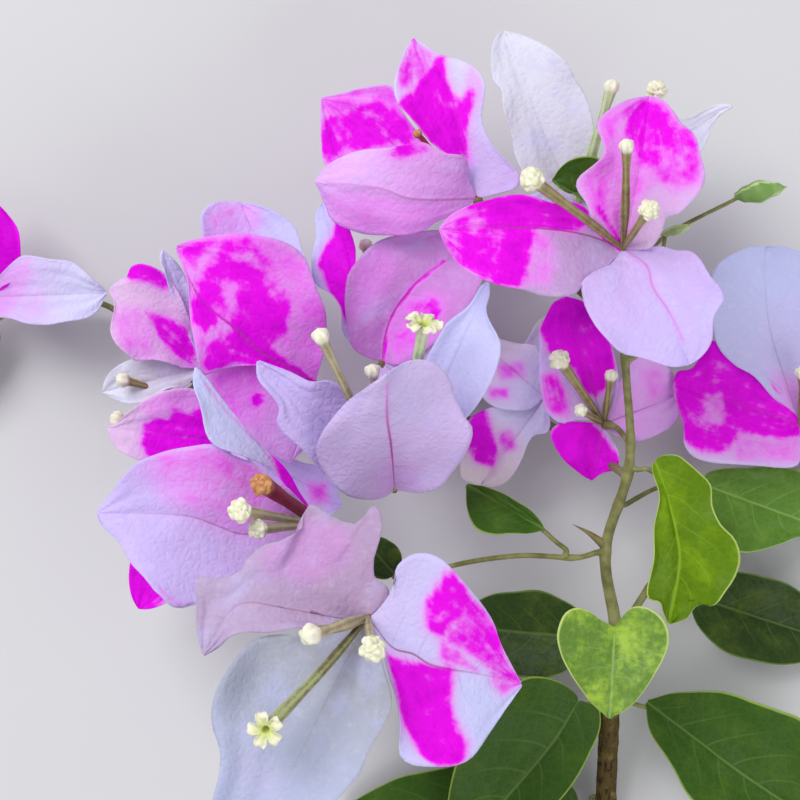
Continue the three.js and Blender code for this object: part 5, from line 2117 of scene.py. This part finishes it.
            (0, 275), (20, 257), (30, 256), (55, 259), (70, 262), (83, 270), (102, 286),
        ), ((-5, 315), (10, 318), (22, 323), (33, 325), (78, 320), (90, 315), (100, 306)))), Tone.LILAC,
            0.2, (
                Patch(((-20, 270), (30, 258), (34, 276), (22, 300), (6, 318), (-20, 316)), 0.26, 16),
                Patch(((20, 290), (44, 288), (46, 316), (22, 318)), 0.18, 14),
            )),
        # The stain of 1.3 on this bract, past deep magenta, is painted shade: the bloom lies in shade.
        Bract(Blade((-77, 38, 13), fold=12, arch=0.06, trace=Trace(((-35, 280), (-45, 250), (-35, 220)), (
            (10, 285), (22, 250), (20, 235), (13, 221), (6, 211),
        ))), Tone.MAUVE, 0.5, (Patch(((-30, 205), (8, 205), (22, 240), (22, 290), (-30, 290)), 1.3, 12),)),
        Bract(Blade((-99, 10.5, 1), 15, fold=8, arch=0.12), Tone.MAUVE, 0.5, (
            Patch(((-90, 300), (-40, 290), (-10, 320), (-40, 350), (-85, 345)), 0.6, 20),
        )),
    ), (Flower((-84, 28, 24), CLUMP),)),
    Bloom("bloom_back_cream", (27.5, 0.5, 12), Stalk("bough_middle", 0.35, (27, -3, 8)), (
        Bract(Blade(seen(480, 486, 5), fold=8, arch=0.1, trace=Trace((
            (550, 425), (547, 433), (535, 435), (527, 445), (522, 458), (514, 473.6), (502, 484),
            (490, 487),
        ), ((520, 400), (490, 408), (468, 418), (462, 440), (460, 460), (462, 478)))), Tone.CREAM, 0.3, (
            Patch(((472, 412), (484, 404), (498, 456), (492, 466), (476, 460), (466, 444), (468, 424)), 0.9,
                8),
            Patch(((498, 432), (512, 430), (516, 448), (502, 452)), 0.62, 9),
        )),
        Bract(Blade((13, 13, 10), fold=8, arch=0.06, trace=Trace(((528, 410), (494, 406), (470, 378)), (
            (545, 375), (541, 358), (537, 347), (517, 344), (498, 338),
        ))), Tone.CREAM, 0.3, (
            Patch(((496, 364), (522, 362), (526, 376), (500, 380)), 0.5, 9),
            Patch(((488, 388), (508, 388), (508, 398), (490, 399)), 0.52, 9),
        )),
        Bract(Blade((34, 17, 1.5), 15, fold=8, arch=0.04), Tone.CREAM),
    )),
    Bloom("bloom_behind_stem", (38, -4.5, 18), Stalk("main_stem", 0.76, (40, -5, 21)), (
        Bract(Blade(seen(565, 296, 17), fold=8, arch=0.04, trace=Trace((
            (580, 420), (560, 423), (546, 412), (542, 396), (538, 358), (540, 345), (541, 330), (547, 315),
            (553, 303),
        ), ((615, 400), (618, 370), (612, 345), (600, 320), (585, 303)))), Tone.LAVENDER, 0.4, (
            Patch((
                (546, 302), (578, 292), (608, 338), (616, 366), (610, 384), (596, 396), (586, 392),
                (576, 372), (566, 362), (550, 352), (540, 330),
            ), 0.92, 9),
            Patch(((540, 376), (556, 372), (568, 396), (568, 416), (552, 414), (541, 400)), 0.62, 12),
        )),
        Bract(Blade(seen(592, 480, 16), fold=6, arch=0.06, trace=Trace((
            (612, 440), (619, 455), (617, 470), (604, 472),
        ), ((580, 422), (560, 422), (551, 432), (553, 443), (560, 456), (573, 468), (585, 477)))),
            Tone.PALE, 0.4, (
                Patch((
                    (548, 430), (560, 420), (590, 418), (622, 462), (616, 476), (590, 484), (570, 470),
                    (554, 452),
                ), 0.95, 8),
            )),
        Bract(Blade(seen(680, 395, 14), fold=8, arch=0.04, trace=Trace((
            (612, 400), (622, 375), (640, 357), (660, 362), (672, 372),
        ), ((620, 438), (640, 441), (662, 433), (678, 418)))), Tone.PINK, 0.6, (
            Patch(((640, 372), (660, 368), (668, 392), (650, 402)), 0.42, 14),
        )),
    ), (
        Flower((29.5, 7, 26), CLUMP, head=0.95),
        Flower((32.5, -1.5, 26), BUD, size=0.8, head=0.75),
        Flower((39.2, 5.6, 22), BUD, size=0.8, head=0.75),
    )),
    Bloom("bloom_right", (75.5, -4.5, 14), Stalk("bough_right", 1, (75, -6.5, 12)), (
        Bract(Blade(seen(765, 246, 20), fold=8, arch=0.08, trace=Trace((
            (790, 410), (772, 397), (752, 375), (735, 365), (715, 340), (711, 290), (712, 276), (720, 262),
            (732, 254), (750, 247),
        ), ((825, 400), (845, 350), (840, 300), (815, 262), (790, 248)), ((782, 370), (768, 320)))),
            Tone.SKY, 0.3, (
                Patch(((756, 340), (766, 306), (800, 292), (840, 320), (820, 400), (776, 400), (756, 374)),
                    0.07, 8),
                Patch(((770, 370), (800, 376), (812, 420), (780, 412)), 0.3, 18),
            )),
        Bract(Blade(seen(673, 385, 17), fold=8, arch=0.06, ruffle=0.7, trace=Trace((
            (800, 455), (797, 466), (765, 466), (735, 466), (710, 462), (692, 455), (683, 444), (682, 425),
            (678, 405), (674, 392),
        ), ((790, 400), (765, 375), (740, 360), (714, 340), (703, 355), (692, 368), (677, 371)))),
            Tone.PALE, 0.4, (
                Patch((
                    (672, 366), (692, 358), (714, 336), (760, 372), (780, 396), (800, 410), (800, 436),
                    (770, 438), (738, 434), (724, 452), (700, 452), (684, 440), (678, 410),
                ), 0.88, 9),
                # This bleached patch is a painted highlight on the magenta.
                Patch(((706, 396), (720, 392), (726, 408), (722, 426), (708, 424)), -0.42, 9),
                Patch(((728, 428), (800, 424), (800, 462), (735, 462)), 0.4, 14),
                Streak(((722, 420), (750, 424), (790, 428)), 3, 1.2, 5),
            )),
        Bract(Blade((93, -12, 1), 17, fold=8, arch=0.02), Tone.PALE, 0.4, (
            Patch(((760, 395), (800, 400), (835, 430), (830, 460), (790, 450), (760, 430)), 0.75, 16),
        )),
    ), (Flower((82, 8, 30), OPEN), Flower((74, 6, 24), BUD, size=0.8, head=0.8))),
)

LEAVES = (
    Leaf("leaf_heart", (39, -41.2, 30), Stalk("main_stem", 0.37, (39.8, -43, 24)), Blade(
        seen(609.5, 719, 33), fold=4, arch=0.04, ruffle=0.25, crumple=0.35, trace=Trace((
            (622, 617), (631, 608), (643, 607), (657, 613), (666, 625), (668, 641), (664, 657), (648, 685),
            (629, 708),
        ), (
            (601, 620), (588, 611), (576, 608), (565, 613), (558, 625), (556, 638), (562, 657), (574, 680),
            (590, 701), (601, 712),
        ))), LeafTone.MOTTLED, HEART_LEAF),
    Leaf("leaf_bright", (46.5, -11, 28), Stalk("main_stem", 0.715, (45, -12.6, 26.9)), Blade(
        seen(669, 625, 26), fold=8, arch=0.06, ruffle=0.6, crumple=0.7, trace=Trace((
            (661, 456), (678, 455), (689, 463), (701, 475), (710, 486), (712, 505), (721, 523), (735, 539),
            (740, 560), (735, 578), (726, 592), (717, 604), (710, 606), (703, 604), (694, 608), (687, 618),
        ), ((652, 465), (657, 491), (656, 514), (652, 546), (650, 578), (647, 598), (657, 600), (662, 611)),
            ((660, 475), (668, 500), (676, 530), (680, 560)))), LeafTone.BRIGHT),
    Leaf("leaf_right_back", (57.5, -16, 12.5), Stalk("main_stem", 0.65, (50, -16, 16)), Blade(
        (89, -27.5, 7.5), fold=6, arch=0.02, trace=Trace((
            (706, 474), (726, 468), (763, 467), (800, 470), (835, 490),
        ), ((715, 515), (725, 535), (735, 551), (745, 553), (781, 544), (800, 537), (830, 545)))),
        LeafTone.MIDDLE),
    Leaf("leaf_right_low", (56, -37.5, 8), Stalk("bough_right", 0.22, (52.5, -36, 9.5)), Blade(
        (86, -47.5, 1.2), 17, fold=8, arch=0.06), LeafTone.IN_SHADE),
    Leaf("leaf_foot_right", (46.5, -57, 12), Stalk("main_stem", 0.31, (43.5, -57, 12.8)), Blade(
        (78, -80, 6), fold=8, arch=0.05, trace=Trace((
            (655, 698), (671, 693), (698, 691), (726, 693), (754, 700), (781, 710), (805, 722), (825, 760),
        ), ((650, 731), (675, 772), (690, 797), (715, 822), (760, 835)), ((692, 736), (738, 771))))),
    Leaf("leaf_foot_left", (34, -57, 10.5), Stalk("main_stem", 0.3, (37, -57, 11.2)), Blade((11, -86.5, 9),
        fold=8, arch=0.05, trace=Trace((
            (598, 708), (600, 730), (590, 754), (574, 781), (562, 798), (530, 835), (490, 853),
        ), (
            (574, 692), (555, 680), (537, 677), (518, 682), (495, 705), (470, 735), (455, 763), (448, 797),
            (448, 830),
        ), ((555, 740), (509, 795))))),
    Leaf("leaf_back_left", (36, -45, 12.5), Stalk("main_stem", 0.42, (38, -45, 13.8)), Blade(
        (10, -43.5, 1.5), 17, fold=8, arch=0.08), LeafTone.IN_SHADE),
    Leaf("leaf_foot_low", (34.5, -78, 3.2), Stalk("main_stem", 0.1, (36.8, -77.6, 4)), Blade(
        (-10, -79, 1.2), 18, fold=5, arch=0.03)),
    Leaf("leaf_bough_lower", (26.6, -23.8, 25.5), Stalk("bough_lower", 0.13, (28.6, -26, 25.3)), Blade(
        seen(466, 484, 20), fold=16, roll=12, arch=0.05, ruffle=0.2, trace=Trace((
            (532, 533), (492, 534), (475, 528), (467, 508),
        ), ((540, 520), (526, 506), (507, 495), (487, 487)))), LeafTone.DEEP),
    Leaf("leaf_small_dark", (-1, -30.5, 43), Stalk("bough_lower", 0.86, (-0.5, -32, 42)), Blade(
        (-7, -24, 44), 7, roll=20, fold=10, arch=0.05, ruffle=0.2), LeafTone.IN_SHADE),
    Leaf("leaf_crown", (37, 33, 37), Stalk("main_stem", 0.99, (38, 27, 36.5)), Blade(seen(552, 180, 37),
        fold=12, arch=0.05, ruffle=0.2, crumple=0.3, trace=Trace((
            (595, 205), (583, 194), (570, 192), (560, 188),
        ), ((606, 185), (600, 160), (585, 156), (572, 159), (560, 168)))), LeafTone.DEEP),
    Leaf("leaf_far_left", (-78, 14, 7), Stalk("bough_far", 0.93, (-77, 15.5, 7)), Blade((-90, -9, 1.5), 14,
        fold=8, arch=0.06, sway=0.2)),
)

SHOOTS = (
    Shoot("shoot_long", (60, 36.5, 35), (69, 38, 37), 2.1, Stalk("main_stem", 0.98, (45, 27, 33)), 0.1),
    Shoot("shoot_short", (46.5, 29.5, 37), (52, 31, 38), 1.0, Stalk("main_stem", 0.9, (45.5, 16, 33)),
        0.55),
)


@dataclass(frozen=True)
class Floor:
    """The plain pale surface that the spray lies on."""

    size: float = 6.0  # metres
    drop: float = 0.0006  # metres under the lowest leaf
    colour: Colour = (0.62, 0.62, 0.63)
    rough: float = 0.9

    def build(self) -> None:
        """Build the floor, which stays apart from the spray's body."""
        half = self.size / 2
        corners = ((-half, -half), (half, -half), (half, half), (-half, half))
        mesh = bpy.data.meshes.new("floor")
        mesh.from_pydata([(x, y, -self.drop) for x, y in corners], [], [(0, 1, 2, 3)])
        graph = Graph("floor")
        graph.dress(self.colour, self.rough, None, Specular_IOR_Level=0.1)
        mesh.materials.append(graph.material)
        floor = bpy.data.objects.new("floor", mesh)
        bpy.context.scene.collection.objects.link(floor)


@dataclass(frozen=True)
class Lamp:
    """A square studio light that points at the spray."""

    name: str
    place: Point  # metres
    size: float  # metres
    power: float  # watts

    def build(self) -> None:
        """Build the light."""
        light = bpy.data.lights.new(self.name, "AREA")
        light.size = self.size
        light.energy = self.power
        lamp = bpy.data.objects.new(self.name, light)
        lamp.location = self.place
        lamp.rotation_euler = (-Vector(self.place)).to_track_quat("-Z", "Y").to_euler()
        bpy.context.scene.collection.objects.link(lamp)


@dataclass(frozen=True)
class Studio:
    """Plain soft light: a large lamp from the upper left, a weak one opposite, and even daylight."""

    lamps: tuple[Lamp, ...] = (
        Lamp("key", (-0.45, 0.5, 0.8), 0.6, 8.0),
        Lamp("fill", (0.5, -0.6, 0.6), 0.6, 3.0),
    )
    daylight: Colour = (0.5, 0.5, 0.52)

    def build(self) -> None:
        """Build the lights and the daylight round them."""
        for lamp in self.lamps:
            lamp.build()
        world = bpy.data.worlds.new("daylight")
        world.use_nodes = True
        world.node_tree.nodes["Background"].inputs["Color"].default_value = (*self.daylight, 1.0)
        scene = bpy.context.scene
        scene.world = world
        scene.view_settings.view_transform = "Standard"


def main() -> None:
    """Build the spray, the floor, the lights and the camera."""
    logging.basicConfig(level=logging.INFO, format="%(message)s")
    for thing in list(bpy.data.objects):
        bpy.data.objects.remove(thing)
    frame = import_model()
    cut_end = next(mount for mount in frame["record"]["mounts"] if mount["name"] == "cut_end")
    shift = np.array(cut_end["pos_m"]) / METRES - np.array(LIMBS[0].route[0])
    spray = Spray(shift)
    for limb in LIMBS:
        limb.settle(spray)
    for organ in (*BLOOMS, *LEAVES, *SHOOTS, *LIMBS):
        organ.build(spray)
    Floor().build()
    Studio().build()
    VIEW.add_camera(shift)


if __name__ == "__main__":
    main()
